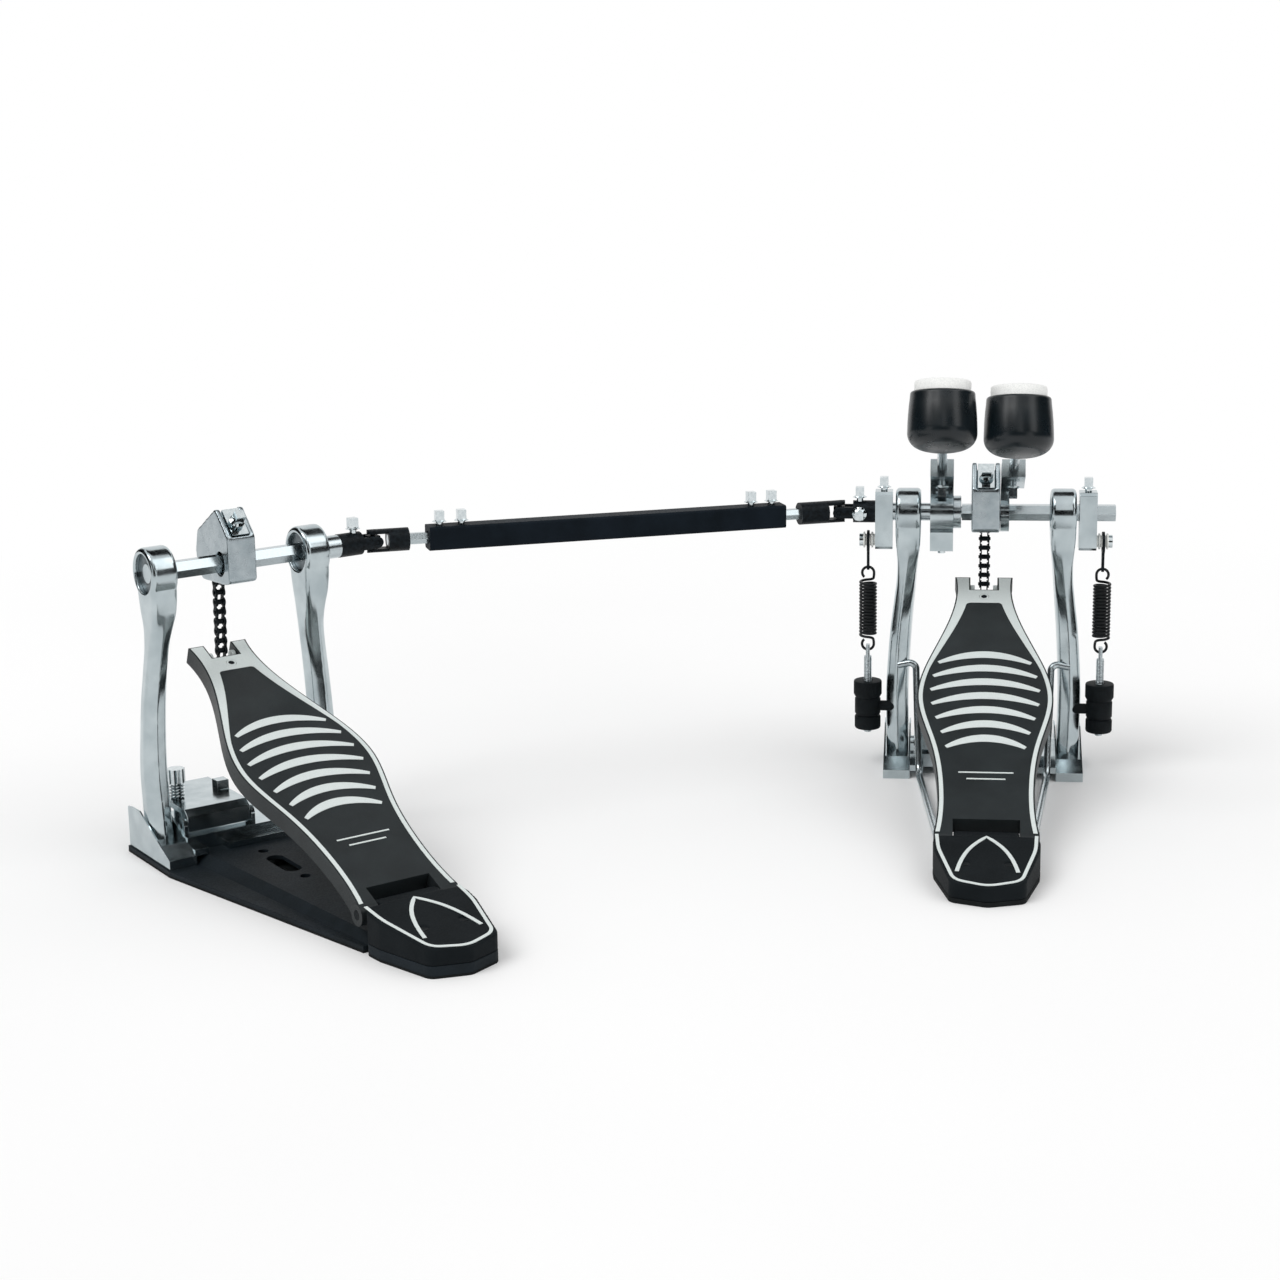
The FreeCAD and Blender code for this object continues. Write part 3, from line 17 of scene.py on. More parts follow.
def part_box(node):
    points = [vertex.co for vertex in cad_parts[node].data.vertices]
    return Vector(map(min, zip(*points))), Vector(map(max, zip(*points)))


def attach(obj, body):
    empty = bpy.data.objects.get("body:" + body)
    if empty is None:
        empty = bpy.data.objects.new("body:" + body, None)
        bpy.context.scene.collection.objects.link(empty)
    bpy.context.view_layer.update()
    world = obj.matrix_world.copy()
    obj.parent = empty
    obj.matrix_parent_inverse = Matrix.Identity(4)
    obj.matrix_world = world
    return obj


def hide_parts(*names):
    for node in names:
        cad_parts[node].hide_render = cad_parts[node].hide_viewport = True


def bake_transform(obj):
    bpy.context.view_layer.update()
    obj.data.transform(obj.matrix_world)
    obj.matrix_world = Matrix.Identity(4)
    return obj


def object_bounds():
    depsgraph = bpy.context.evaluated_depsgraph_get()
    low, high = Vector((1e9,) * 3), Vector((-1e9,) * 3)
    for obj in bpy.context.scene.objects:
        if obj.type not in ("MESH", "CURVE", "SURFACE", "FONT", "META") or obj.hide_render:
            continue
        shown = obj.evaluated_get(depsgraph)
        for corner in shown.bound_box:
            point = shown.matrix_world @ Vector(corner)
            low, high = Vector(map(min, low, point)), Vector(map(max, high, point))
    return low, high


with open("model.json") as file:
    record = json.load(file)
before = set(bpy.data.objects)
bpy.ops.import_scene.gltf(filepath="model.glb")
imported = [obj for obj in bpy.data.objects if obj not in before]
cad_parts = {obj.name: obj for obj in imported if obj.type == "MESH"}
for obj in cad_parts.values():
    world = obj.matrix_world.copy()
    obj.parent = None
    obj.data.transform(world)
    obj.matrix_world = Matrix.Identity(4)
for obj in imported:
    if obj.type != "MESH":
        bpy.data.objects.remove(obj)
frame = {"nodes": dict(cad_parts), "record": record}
cad_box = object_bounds()
MM = 0.001
body_of = {node: body for body, nodes in frame["record"]["behaviour"]["bodies"].items() for node in nodes}

# %% [markdown]
# ## Where the two pedals stand
# Both pedals have the same parts, so a piece is drawn once in a pedal's own frame: the floor under
# the middle of its axle, X along the axle and Y towards the drum. A matrix then puts it in place.

# %% Pedal frames
MAIN = Matrix.Translation((0.223701, 0.182024, 0))
LEFT = MAIN @ Matrix.Translation((-0.4637, -0.1952, 0.0041)) @ Matrix.Rotation(math.radians(41.5), 4, "Z")
PEDALS = {"left": (LEFT, 22.2), "main": (MAIN, 24.0)}      # with the slope of each footboard
AXLE_H = 179 * MM
HINGE = Vector((0, -207 * MM, 16 * MM))
print("axle centres", [tuple(round(c, 4) for c in m @ Vector((0, 0, AXLE_H))) for m, _ in PEDALS.values()])

# %% [markdown]
# ## Colour and node helpers
# Colours are picked as sRGB hex values, the way they look on a screen, and the shader wants linear
# light, so one function converts them. One more adds a shader node with its settings and links.

# %% Helpers for materials
SPREAD = (0.3, 0.7)         # the part of the noise's range that a pattern uses


def linear(code):
    """A hex colour as linear RGBA."""
    channels = [int(code[i:i + 2], 16) / 255 for i in (1, 3, 5)]
    return [c / 12.92 if c <= 0.04045 else ((c + 0.055) / 1.055) ** 2.4 for c in channels] + [1.0]


def add(tree, kind, sockets=None, links=None, **settings):
    """Add a shader node, set its sockets and settings, and link its inputs."""
    made = tree.nodes.new(kind)
    for name, value in settings.items():
        setattr(made, name, value)
    for name, value in (sockets or {}).items():
        made.inputs[name].default_value = value
    for name, source in (links or {}).items():
        tree.links.new(source, made.inputs[name])
    return made


def finish(name, sockets, colour, rough=None, relief=None, stretch=(1, 1, 1)):
    """A material whose colour, roughness and relief follow noise with spots of a size in millimetres.

    A pattern is (size, detail, low, high); for relief the last two are its depth and strength.
    """
    material = bpy.data.materials.new(name)
    material.use_nodes = True
    tree = material.node_tree
    tree.nodes.clear()
    shader = add(tree, "ShaderNodeBsdfPrincipled", sockets)
    add(tree, "ShaderNodeOutputMaterial", links={"Surface": shader.outputs["BSDF"]})
    place = add(tree, "ShaderNodeTexCoord").outputs["Object"]
    for socket, pattern in (("Base Color", colour), ("Roughness", rough), ("Normal", relief)):
        if not pattern:
            continue
        size, detail, low, high = pattern
        scale = [s / (size * MM) for s in stretch]
        scaled = add(tree, "ShaderNodeMapping", {"Scale": scale}, {"Vector": place})
        spots = add(tree, "ShaderNodeTexNoise", {"Scale": 1.0, "Detail": detail},
                    {"Vector": scaled.outputs[0]})
        if socket == "Normal":
            made = add(tree, "ShaderNodeBump", {"Distance": low * MM, "Strength": high},
                       {"Height": spots.outputs["Fac"]})
        else:
            made = add(tree, "ShaderNodeValToRGB", links={"Fac": spots.outputs["Fac"]})
            for stop, at, value in zip(made.color_ramp.elements, SPREAD, (low, high)):
                stop.position = at
                stop.color = linear(value) if socket == "Base Color" else (value, value, value, 1)
        tree.links.new(made.outputs[0], shader.inputs[socket])
    return material


# %% [markdown]
# ## Polished castings
# The frames, posts and cams are die-cast alloy, tumbled and polished. The polish leaves a bright
# mirror that still waves a little from the casting, with faint cloudy patches where it is duller.

# %% Cast and plated metals
polished_alloy = finish("polished_die_cast_alloy", {"Metallic": 1.0}, (14, 3, "#aab5b9", "#bfc9cc"),
                        (9, 3, 0.14, 0.23), (16, 2, 0.06, 0.3))
cast_alloy = finish("tumbled_die_cast_alloy", {"Metallic": 1.0}, (8, 3, "#9ca7ac", "#b0b9bd"),
                    (5, 3, 0.2, 0.3), (5, 2, 0.05, 0.3))
chrome = finish("chrome_plated_steel", {"Metallic": 1.0}, (2, 3, "#c2cbce", "#d8dfe1"), (0.8, 4, 0.06, 0.17))

# %% [markdown]
# ## Drawn steel and zinc
# Axles, hex rods and wire rods are bright drawn bar. Drawing leaves fine lines along the bar, which
# spread the highlights, so the roughness follows long thin streaks. The streaks of the real bar are
# too fine for the render, so these are drawn about 0.5 mm wide.

# %% Drawn bar
drawn_steel = finish("bright_drawn_steel", {"Metallic": 1.0, "Anisotropic": 0.35},
                     (0.5, 2, "#b0babe", "#c2cbce"), (0.5, 2, 0.18, 0.25), stretch=(0.06, 1, 1))
bearing_steel = finish("oiled_bearing_steel", {"Metallic": 1.0}, (3, 3, "#565e62", "#757d81"),
                       (1.5, 3, 0.26, 0.4))
zinc_thread = finish("zinc_plated_steel", {"Metallic": 1.0}, (1.2, 4, "#a1abaf", "#c0c8cb"),
                     (0.7, 3, 0.2, 0.36))

# %% [markdown]
# ## Black finishes
# Black isn't one finish here. The boards are enamelled alloy with a fine satin tooth, the base plate is
# powder coated and the tube lacquered, the chain and the joints are blackened steel, and the nuts, heel
# plates and beater shells are moulded plastic.

# %% Coated and blackened pieces
enamel = finish("satin_black_enamel", {"Specular IOR Level": 0.3}, (22, 3, "#1c2123", "#252b2d"),
                (0.6, 3, 0.38, 0.54), (0.5, 2, 0.03, 0.5))
powder_coat = finish("black_powder_coat", {"Specular IOR Level": 0.14}, (18, 3, "#131a1e", "#1a2228"),
                     (1.1, 3, 0.52, 0.68), (0.9, 2, 0.035, 0.45))
tube_lacquer = finish("black_lacquered_steel", {"Specular IOR Level": 0.06}, (18, 3, "#0e151b", "#151d25"),
                      (1.1, 3, 0.46, 0.6), (0.9, 2, 0.03, 0.4))
black_oxide = finish("blackened_steel", {"Metallic": 0.12, "Specular IOR Level": 0.12},
                     (2.5, 5, "#090d10", "#192025"), (1.2, 4, 0.36, 0.54))
heel_nylon = finish("moulded_black_nylon", {"Specular IOR Level": 0.08}, (20, 3, "#0f1417", "#161b1e"),
                    (0.8, 2, 0.56, 0.7), (0.7, 2, 0.05, 0.5))
knurled_plastic = finish("matte_black_acetal", {"Specular IOR Level": 0.14}, (5, 4, "#0b1013", "#12181b"),
                         (0.6, 3, 0.5, 0.68), (0.45, 2, 0.03, 0.5))
shell_plastic = finish("glossy_black_polypropylene", {"Specular IOR Level": 0.4},
                       (15, 2, "#0b1317", "#10191e"), (9, 2, 0.26, 0.31))
mat_rubber = finish("moulded_rubber", {"Specular IOR Level": 0.15}, (4, 4, "#101314", "#181c1d"),
                    (1, 3, 0.68, 0.86), (1.2, 2, 0.1, 0.6))
spring_black = finish("black_coated_spring_wire", {"Specular IOR Level": 0.3, "Metallic": 0.15},
                      (3, 3, "#090c0e", "#13181a"), (0.8, 3, 0.34, 0.5))

# %% [markdown]
# ## Pale finishes
# The trim on the boards is silver ink over a raised edge: flaky, so it glitters softly and has no
# sharp mirror. The felt is pressed wool: white, matte and full of short fibres. The bushes are nylon.

# %% Silver, felt and nylon
silver_ink = finish("silver_ink", {"Metallic": 0.1, "Specular IOR Level": 0.4},
                    (0.45, 3, "#d2dad9", "#e3eae8"), (0.45, 3, 0.42, 0.58), (0.45, 3, 0.02, 0.5))
felt_wool = finish("pressed_wool_felt", {"Roughness": 0.95, "Specular IOR Level": 0.15, "Sheen Weight": 0.4},
                   (0.7, 6, "#e2e4e2", "#fafaf8"), relief=(0.7, 6, 0.35, 0.7))
white_nylon = finish("natural_nylon", {"Specular IOR Level": 0.5}, (4, 3, "#e6e8e4", "#f0f1ee"),
                     (1, 3, 0.35, 0.48))
print(len(bpy.data.materials), "materials")

# %% [markdown]
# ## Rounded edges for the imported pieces
# CAD edges are knife sharp, and a sharp edge catches no light. A copy of each node gets its triangles
# joined into flat faces, and a small bevel on every corner that turns more than about 30 degrees. Each
# piece gets the radius its making would leave: more on castings, less on machined bar. Weighted normals
# keep the large faces flat beside the new round edges.

# %% Pieces and their shading
WELD, FLAT = 0.002 * MM, math.radians(0.5)      # how near points are one point, and faces one plane
SHARP, FACE_WEIGHT = math.radians(32), 80       # what counts as a corner, and the pull of large faces


def shaded(mesh, angle=35.0):
    """Smooth shading, with edges sharper than an angle kept crisp."""
    mesh.shade_smooth()
    mesh.set_sharp_from_angle(angle=math.radians(angle))
    return mesh


def piece(name, mesh, body, materials, nodes=()):
    """A finished piece that rides on a body and stands for some nodes."""
    made = bpy.data.objects.new(name, mesh)
    bpy.context.scene.collection.objects.link(made)
    mesh.materials.clear()
    for material in materials if isinstance(materials, tuple) else (materials,):
        mesh.materials.append(material)
    if body:
        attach(made, body)
    if nodes:
        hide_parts(*nodes)
    return made


# %% Modifiers applied to a mesh


def applied(mesh, *modifiers):
    """A mesh with modifiers applied: each is a kind and its settings."""
    bench = bpy.data.objects.new("bench", mesh)
    bpy.context.scene.collection.objects.link(bench)
    for kind, settings in modifiers:
        made = bench.modifiers.new(kind.lower(), kind)
        for name, value in settings.items():
            setattr(made, name, value)
    graph = bpy.context.evaluated_depsgraph_get()
    final = bpy.data.meshes.new_from_object(bench.evaluated_get(graph), preserve_all_data_layers=True,
                                            depsgraph=graph)
    bpy.data.objects.remove(bench)
    bpy.data.meshes.remove(mesh)
    return final


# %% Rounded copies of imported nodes


def plain_copy(node):
    """A copy of a node's mesh with its triangles joined into flat faces."""
    form = bmesh.new()
    form.from_mesh(frame["nodes"][node].data)
    bmesh.ops.remove_doubles(form, verts=form.verts, dist=WELD)
    bmesh.ops.dissolve_limit(form, angle_limit=FLAT, verts=form.verts, edges=form.edges)
    mesh = bpy.data.meshes.new(node + "_rounded")
    form.to_mesh(mesh)
    form.free()
    return shaded(mesh)


def bevelled(node, width, steps=2):
    """A copy of a node's mesh with its sharp edges rounded."""
    edges = ("BEVEL", {"width": width, "segments": steps, "limit_method": "ANGLE", "angle_limit": SHARP})
    normals = ("WEIGHTED_NORMAL", {"keep_sharp": True, "weight": FACE_WEIGHT})
    return applied(plain_copy(node), edges, normals)


# %% Separate shells in one mesh


def islands(mesh):
    """The faces of each separate shell in a mesh, with the shell's least and greatest corner."""
    form = bmesh.new()
    form.from_mesh(mesh)
    left, found = set(form.verts), []
    while left:
        todo, shell = [left.pop()], set()
        while todo:
            vert = todo.pop()
            shell.add(vert)
            near = {edge.other_vert(vert) for edge in vert.link_edges} & left
            left -= near
            todo.extend(near)
        corners = np.array([vert.co for vert in shell])
        faces = sorted({face.index for vert in shell for face in vert.link_faces})
        found.append((faces, corners.min(axis=0), corners.max(axis=0)))
    form.free()
    return found


# %% Bevelled copies of the machined and moulded pieces
ROUNDED = [
    (polished_alloy, 1.0, ["left_frame_casting", "main_frame_casting"]),
    (polished_alloy, 0.8, ["left_beater_hub", "right_beater_holder", "left_spring_block",
                           "right_spring_block"]),
    (polished_alloy, 0.7, ["left_clamp_jaw", "main_clamp_jaw"]),
    (enamel, 0.8, ["left_footboard", "main_footboard"]),
    (mat_rubber, 0.4, ["left_rubber_mat", "main_heel_foot"]),
    (powder_coat, 0.6, ["left_base_plate"]),
    (tube_lacquer, 0.6, ["shaft_tube"]),
    (drawn_steel, 0.25, ["left_axle", "main_axle", "stub_shaft", "shaft_rods", "frame_pins"]),
    (bearing_steel, 0.3, ["axle_bearings"]),
    (drawn_steel, 0.25, ["left_beater_rod", "right_beater_rod", "stay_rod_left", "stay_rod_right"]),
    (zinc_thread, 0.2, ["left_spring_rod", "right_spring_rod"]),
    (chrome, 0.35, ["left_cam_clamp", "main_cam_clamp", "left_yoke_bolt", "shaft_bolts", "stub_bolts",
                    "main_axle_bolts"]),
    (black_oxide, 0.45, ["left_yoke", "stub_yoke", "shaft_yokes", "left_joint_cross", "main_joint_cross",
                         "left_spring_hook", "right_spring_hook"]),
    (white_nylon, 0.3, ["left_spring_bush", "right_spring_bush"]),
]
SMALL, LOW_PINS = 20 * MM, 26 * MM        # the size of single screws, and the top of the hinge pins
for material, width, nodes in ROUNDED:
    for node in nodes:
        finishes = (material,)
        if "footboard" in node:
            finishes = (material, chrome)
        elif node == "frame_pins":
            finishes = (material, knurled_plastic)
        mesh = bevelled(node, width * MM)
        made = piece(node + "_body", mesh, body_of[node], finishes, [node])
        if len(finishes) == 1:
            continue
        for faces, low, high in islands(made.data):
            if max(high - low) < SMALL or (high[2] < LOW_PINS and node == "frame_pins"):
                for face in faces:
                    made.data.polygons[face].material_index = 1
print(sum(len(nodes) for _, _, nodes in ROUNDED), "rounded pieces")

# %% [markdown]
# ## Grids of points
# Turned and lofted pieces are easiest as rows of points with faces between them. One helper makes a mesh
# from rows that close on themselves, and caps both ends.

# %% Lofted meshes


def loft(name, rows, capped=True):
    """A mesh through closed rows of points, with its ends filled."""
    count = len(rows[0])
    faces = []
    for r in range(len(rows) - 1):
        for c in range(count):
            d = (c + 1) % count
            faces.append((r * count + c, r * count + d, (r + 1) * count + d, (r + 1) * count + c))
    if capped:
        faces.append(tuple(reversed(range(count))))
        faces.append(tuple(range((len(rows) - 1) * count, len(rows) * count)))
    mesh = bpy.data.meshes.new(name)
    mesh.from_pydata([tuple(p) for row in rows for p in row], [], faces)
    return mesh


# %% Arcs, turned pieces and round bars


def arc(middle, radius, start, end, steps):
    """Points on an arc in a profile, with its angles in degrees."""
    turns = np.radians(np.linspace(start, end, steps))
    return [(middle[0] + radius * math.cos(t), middle[1] + radius * math.sin(t)) for t in turns]


def turned(name, profile, steps, ridges=0, depth=0.0):
    """A mesh turned about Z from rows of (radius, height, share of the knurl)."""
    turns = np.linspace(0, 2 * np.pi, steps, endpoint=False)
    rows = []
    for radius, height, share in profile:
        around = radius - depth * share * (1 - np.cos(ridges * turns)) / 2
        rows.append([(r * math.cos(t), r * math.sin(t), height) for r, t in zip(around, turns)])
    return loft(name, rows)


def bar(radius, start, end, height=0.0, edge=0.2, steps=20):
    """A round bar along X with chamfered ends, at a height."""
    turns = np.linspace(0, 2 * np.pi, steps, endpoint=False)
    ends = ((start, radius - edge), (start + edge, radius), (end - edge, radius), (end, radius - edge))
    return loft("bar", [[(x, r * math.cos(t), height + r * math.sin(t)) for t in turns] for x, r in ends])


# %% Several meshes in one


def joined(name, meshes):
    """One mesh from several, each with a matrix."""
    form = bmesh.new()
    for mesh, place in meshes:
        part = bmesh.new()
        part.from_mesh(mesh)
        part.transform(place)
        if place.determinant() < 0:
            bmesh.ops.reverse_faces(part, faces=part.faces)
        copy = bpy.data.meshes.new("part")
        part.to_mesh(copy)
        part.free()
        form.from_mesh(copy)
        bpy.data.meshes.remove(copy)
    mesh = bpy.data.meshes.new(name)
    form.to_mesh(mesh)
    form.free()
    return mesh


# %% [markdown]
# ## Cams and heel plates
# The cams come out of a mould with generous, uneven edge radii, and are then tumbled; the nylon heel plates
# are moulded soft-edged too. A bevel modifier gets lost where so many faces meet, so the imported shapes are
# remeshed to small even squares and smoothed. The cam's cheeks have a long hole round the axle, so that the
# cam can be set to another angle: a drill with an oval section cuts it first.

# %% Tumbled cams and moulded heel plates
HOLE_Y, HOLE_HALF_Y, HOLE_HALF_Z, CHEEK_OUT, HOLE_DEPTH = -1.0, 6.4, 7.2, 9.4, 4.0
turns = np.linspace(0, 2 * np.pi, 48, endpoint=False)
oval = [(HOLE_Y + HOLE_HALF_Y * math.cos(t), AXLE_H / MM + HOLE_HALF_Z * math.sin(t)) for t in turns]
to_metres = Matrix.Scale(MM, 4)
SOFTENED = [("cam", cast_alloy, 0.5, 26), ("heel_plate", heel_nylon, 0.6, 14)]     # with voxel and smoothing
SMOOTHING, SOFT_KEEP = 0.5, 0.3         # how far a round of smoothing goes, and the share of faces kept
for pedal, (place, _) in PEDALS.items():
    ends = ((-CHEEK_OUT - 1, HOLE_DEPTH - CHEEK_OUT), (CHEEK_OUT - HOLE_DEPTH, CHEEK_OUT + 1))
    drills = [loft("drill", [[(x, y, z) for y, z in oval] for x in pair]) for pair in ends]
    drill_bit = bpy.data.objects.new("drill", joined("drill", [(mesh, place @ to_metres) for mesh in drills]))
    bpy.context.scene.collection.objects.link(drill_bit)
    for part, material, voxel, rounds in SOFTENED:
        node = f"{pedal}_{part}"
        steps = [("REMESH", {"mode": "VOXEL", "voxel_size": voxel * MM}),
                 ("SMOOTH", {"factor": SMOOTHING, "iterations": rounds}), ("DECIMATE", {"ratio": SOFT_KEEP})]
        if part == "cam":
            steps.insert(0, ("BOOLEAN", {"operation": "DIFFERENCE", "object": drill_bit, "solver": "EXACT"}))
        mesh = applied(plain_copy(node), *steps)
        piece(node + "_softened", shaded(mesh, 75), body_of[node], material, [node])
        print(node, "has", len(mesh.polygons), "faces")
    bpy.data.objects.remove(drill_bit)

# %% [markdown]
# ## Posts
# Each post is one casting: a bored hub like a thick ring, which runs down as a teardrop into a slim post
# that leans to the drum. The hub's flat front narrows in a V and goes on as a ridge. The post is lofted
# through outlines whose front is flat or ridged by degrees. Hub and post are then merged by a fine voxel
# remesh and smoothed, which rounds the joint as a casting mould would.

# %% Cast posts
HUB_X, HUB_HALF, HUB_R, BORE_R = 51.5, 8.5, 16.2, 12.2
POST_FOOT_Z, POST_TOP_Z, POST_POINTS, POST_ROWS = 10.0, 173.0, 96, 110
POST_KEYS = np.array([      # height, centre across, lean, half width, half depth, turn in degrees, ridge
    (10.0, 6.3, 3.6, 7.4, 9.6, 0, 0.6), (30.0, 6.6, 4.1, 7.5, 9.1, 2, 0.9),
    (52.0, 6.9, 4.5, 7.55, 8.8, 4, 1.0), (76.0, 6.0, 4.3, 7.25, 8.5, 7, 1.0),
    (99.5, 4.4, 3.8, 6.95, 8.4, 8, 1.0), (118.0, 2.5, 2.8, 6.6, 8.8, 7, 1.0),
    (133.0, 1.0, 1.8, 6.35, 9.8, 5, 0.8), (145.0, 0.2, 0.9, 6.8, 11.3, 2, 0.35),
    (155.0, 0.0, 0.4, 7.8, 12.6, 0, 0.0), (164.0, 0.0, 0.1, 8.4, 13.6, 0, 0.0),
    (173.0, 0.0, 0.0, 8.5, 14.0, 0, 0.0)])


# %% Outlines of a post


def eased(keys, at):
    """A smooth curve through a table's rows, by cubic pieces with the table's own slopes."""
    slopes = np.gradient(keys[:, 1:], keys[:, 0], axis=0)
    i = int(np.clip(np.searchsorted(keys[:, 0], at) - 1, 0, len(keys) - 2))
    span = keys[i + 1, 0] - keys[i, 0]
    t = (at - keys[i, 0]) / span
    before, after = keys[i, 1:], keys[i + 1, 1:]
    bend = (2 * t ** 3 - 3 * t ** 2 + 1) * before + (3 * t ** 2 - 2 * t ** 3) * after
    return bend + span * ((t ** 3 - 2 * t ** 2 + t) * slopes[i] + (t ** 3 - t ** 2) * slopes[i + 1])


def post_outline(half_x, half_y, ridge):
    """A post's outline with softened corners: a flat or ridged front, straight sides and a narrower back."""
    side = [(0.9 - 0.1 * ridge, -1 + 0.42 * ridge), (1.0, -0.86 + 0.56 * ridge), (1.0, 0.6), (0.72, 1.0)]
    shares = [(0, -1)] + side + [(-x, y) for x, y in reversed(side)] + [(0, -1)]
    corners = np.array(shares) * (half_x, half_y)
    reach = np.concatenate([[0], np.cumsum(np.linalg.norm(np.diff(corners, axis=0), axis=1))])
    at = np.linspace(0, reach[-1], POST_POINTS, endpoint=False)
    points = np.stack([np.interp(at, reach, corners[:, axis]) for axis in (0, 1)], axis=1)
    for _ in range(4):
        points = (np.roll(points, 1, axis=0) + 2 * points + np.roll(points, -1, axis=0)) / 4
    return points


# %% The post's blade
rows = []
for height in np.linspace(POST_FOOT_Z, POST_TOP_Z, POST_ROWS):
    across, lean, half_x, half_y, turn, ridge = eased(POST_KEYS, height)
    c, s = math.cos(math.radians(turn)), math.sin(math.radians(turn))
    rows.append([(HUB_X + across + c * a - s * b, lean + s * a + c * b, height)
                 for a, b in post_outline(half_x, half_y, float(np.clip(ridge, 0, 1)))])
blade = loft("blade", rows)
print("the blade has", len(rows), "outlines")

# %% The hub's ring and the drill for its bore
RIM, BORE_EDGE, BORE_CLEAR, RING_STEPS, DRILL_STEPS = 2.6, 0.6, 0.05, 96, 64
profile = [(-HUB_HALF, BORE_R + BORE_EDGE)] + arc((-HUB_HALF + RIM, HUB_R - RIM), RIM, 180, 90, 7)
profile += arc((HUB_HALF - RIM, HUB_R - RIM), RIM, 90, 0, 7) + [(HUB_HALF, BORE_R + BORE_EDGE)]
profile += [(HUB_HALF - BORE_EDGE, BORE_R), (-HUB_HALF + BORE_EDGE, BORE_R)]
rows = []
for turn in np.linspace(0, 2 * np.pi, RING_STEPS, endpoint=False):
    rows.append([(HUB_X + x, r * math.cos(turn), AXLE_H / MM + r * math.sin(turn)) for x, r in profile])
ring = loft("ring", rows + rows[:1], capped=False)

turns = np.linspace(0, 2 * np.pi, DRILL_STEPS, endpoint=False)
reach = BORE_R + BORE_CLEAR
bore = [(reach * math.cos(t), AXLE_H / MM + reach * math.sin(t)) for t in turns]
drill = loft("drill", [[(x, y, z) for y, z in bore] for x in (HUB_X - 2 * HUB_HALF, HUB_X + 2 * HUB_HALF)])
print("the ring has", len(ring.polygons), "faces")

# %% Hub and blade merged, for both sides of both pedals
drill_bit = bpy.data.objects.new("drill", drill)
bpy.context.scene.collection.objects.link(drill_bit)
for mesh in (blade, ring, drill):
    form = bmesh.new()
    form.from_mesh(mesh)
    bmesh.ops.remove_doubles(form, verts=form.verts, dist=1e-4)
    bmesh.ops.recalc_face_normals(form, faces=form.faces)
    form.to_mesh(mesh)
    form.free()
blade = applied(blade, ("BOOLEAN", {"operation": "DIFFERENCE", "object": drill_bit, "solver": "EXACT"}))
bpy.data.objects.remove(drill_bit)
POST_VOXEL, POST_ROUNDS, POST_KEEP = 0.55, 7, 0.45
post = applied(joined("post", [(blade, Matrix()), (ring, Matrix())]),
               ("REMESH", {"mode": "VOXEL", "voxel_size": POST_VOXEL}),
               ("SMOOTH", {"factor": SMOOTHING, "iterations": POST_ROUNDS}),
               ("DECIMATE", {"ratio": POST_KEEP}))
mirror = Matrix.Scale(-1, 4, (1, 0, 0))
for pedal, (place, _) in PEDALS.items():
    node = pedal + "_posts"
    both = joined(node, [(post, place @ to_metres), (post, place @ mirror @ to_metres)])
    piece(node + "_cast", shaded(both, 80), "frame", polished_alloy, [node])
print("a post has", len(post.polygons), "faces")

# %% [markdown]
# ## Beater heads
# A head is a moulded cup turned about one axis, with a felt disc let into its sloping front. Both are
# turned profiles; the front is then slid along the axis in step with the height, which slopes it. The
# felt gets a soft crown and a little unevenness, because pressed wool is never quite flat.

# %% Where the heads are, and how they are turned
LEAN, FACE = math.radians(65), math.radians(10)
ROD_OFFSET, HEAD_R, HEAD_BACK, HEAD_FRONT, FELT_R = 20.0, 21.5, 18.3, 18.3, 17.4
HEADS = {"left": (-29.2, 153.0), "right": (17.6, 141.0)}        # along the axle, and along the rod
along_rod = Vector((0, -math.sin(LEAN), math.cos(LEAN)))
to_drum = Vector((0, math.cos(LEAN), math.sin(LEAN)))


def turned_head(name, profile, steps, fuzz=0.0):
    """A turned profile of (radius, place along the axis, share of the slope) in the head's own frame."""
    rows = []
    for radius, along, share in profile:
        row = []
        for turn in np.linspace(0, 2 * np.pi, steps, endpoint=False):
            x, z = radius * math.cos(turn), radius * math.sin(turn)
            bump = fuzz * noise.fractal(Vector((x, along, z)) * 0.55, 1.0, 2.0, 4) if fuzz else 0.0
            grow = 1 + bump / max(radius, 4.0)
            row.append((x * grow, along + bump - share * z * math.tan(FACE), z * grow))
        rows.append(row)
    return shaded(loft(name, rows), 50)


# %% Shells and felts
CORNER, DOME, RIM_R, HEAD_STEPS, FUZZ = 9.0, 0.7, 1.9, 120, 0.22
cup = [(r, -HEAD_BACK + DOME * (r / (HEAD_R - CORNER)) ** 2, 0) for r in (0.6, 3.0, 6.0, 9.0, 11.0)]
cup += [(r, a, 0) for r, a in arc((HEAD_R - CORNER, -HEAD_BACK + DOME + CORNER), CORNER, -88, 0, 16)]
TAPER = ((0.1, -3.0, 0.0), (0.3, 2.0, 0.15), (0.8, 9.0, 0.6), (1.3, 13.5, 1.0))
cup += [(HEAD_R - t, a, s) for t, a, s in TAPER]
cup += [(r, a, 1) for r, a in arc((HEAD_R - 1.5 - RIM_R, HEAD_FRONT - RIM_R), RIM_R, 0, 90, 7)]
cup += [(FELT_R + 0.5, HEAD_FRONT - 0.1, 1), (FELT_R + 0.2, HEAD_FRONT - 2.5, 1), (1.0, HEAD_FRONT - 2.6, 1)]
disc = [(FELT_R, HEAD_FRONT - 4.0, 1), (FELT_R, HEAD_FRONT + 1.0, 1), (FELT_R, HEAD_FRONT + 3.0, 1)]
disc += [(r, a, 1) for r, a in arc((FELT_R - 2.0, HEAD_FRONT + 5.0), 2.0, 0, 80, 6)]
disc += [(r, HEAD_FRONT + 7.3 - 0.0012 * r * r, 1) for r in (14.0, 12.0, 10.0, 8.0, 6.0, 4.0, 2.0, 0.5)]
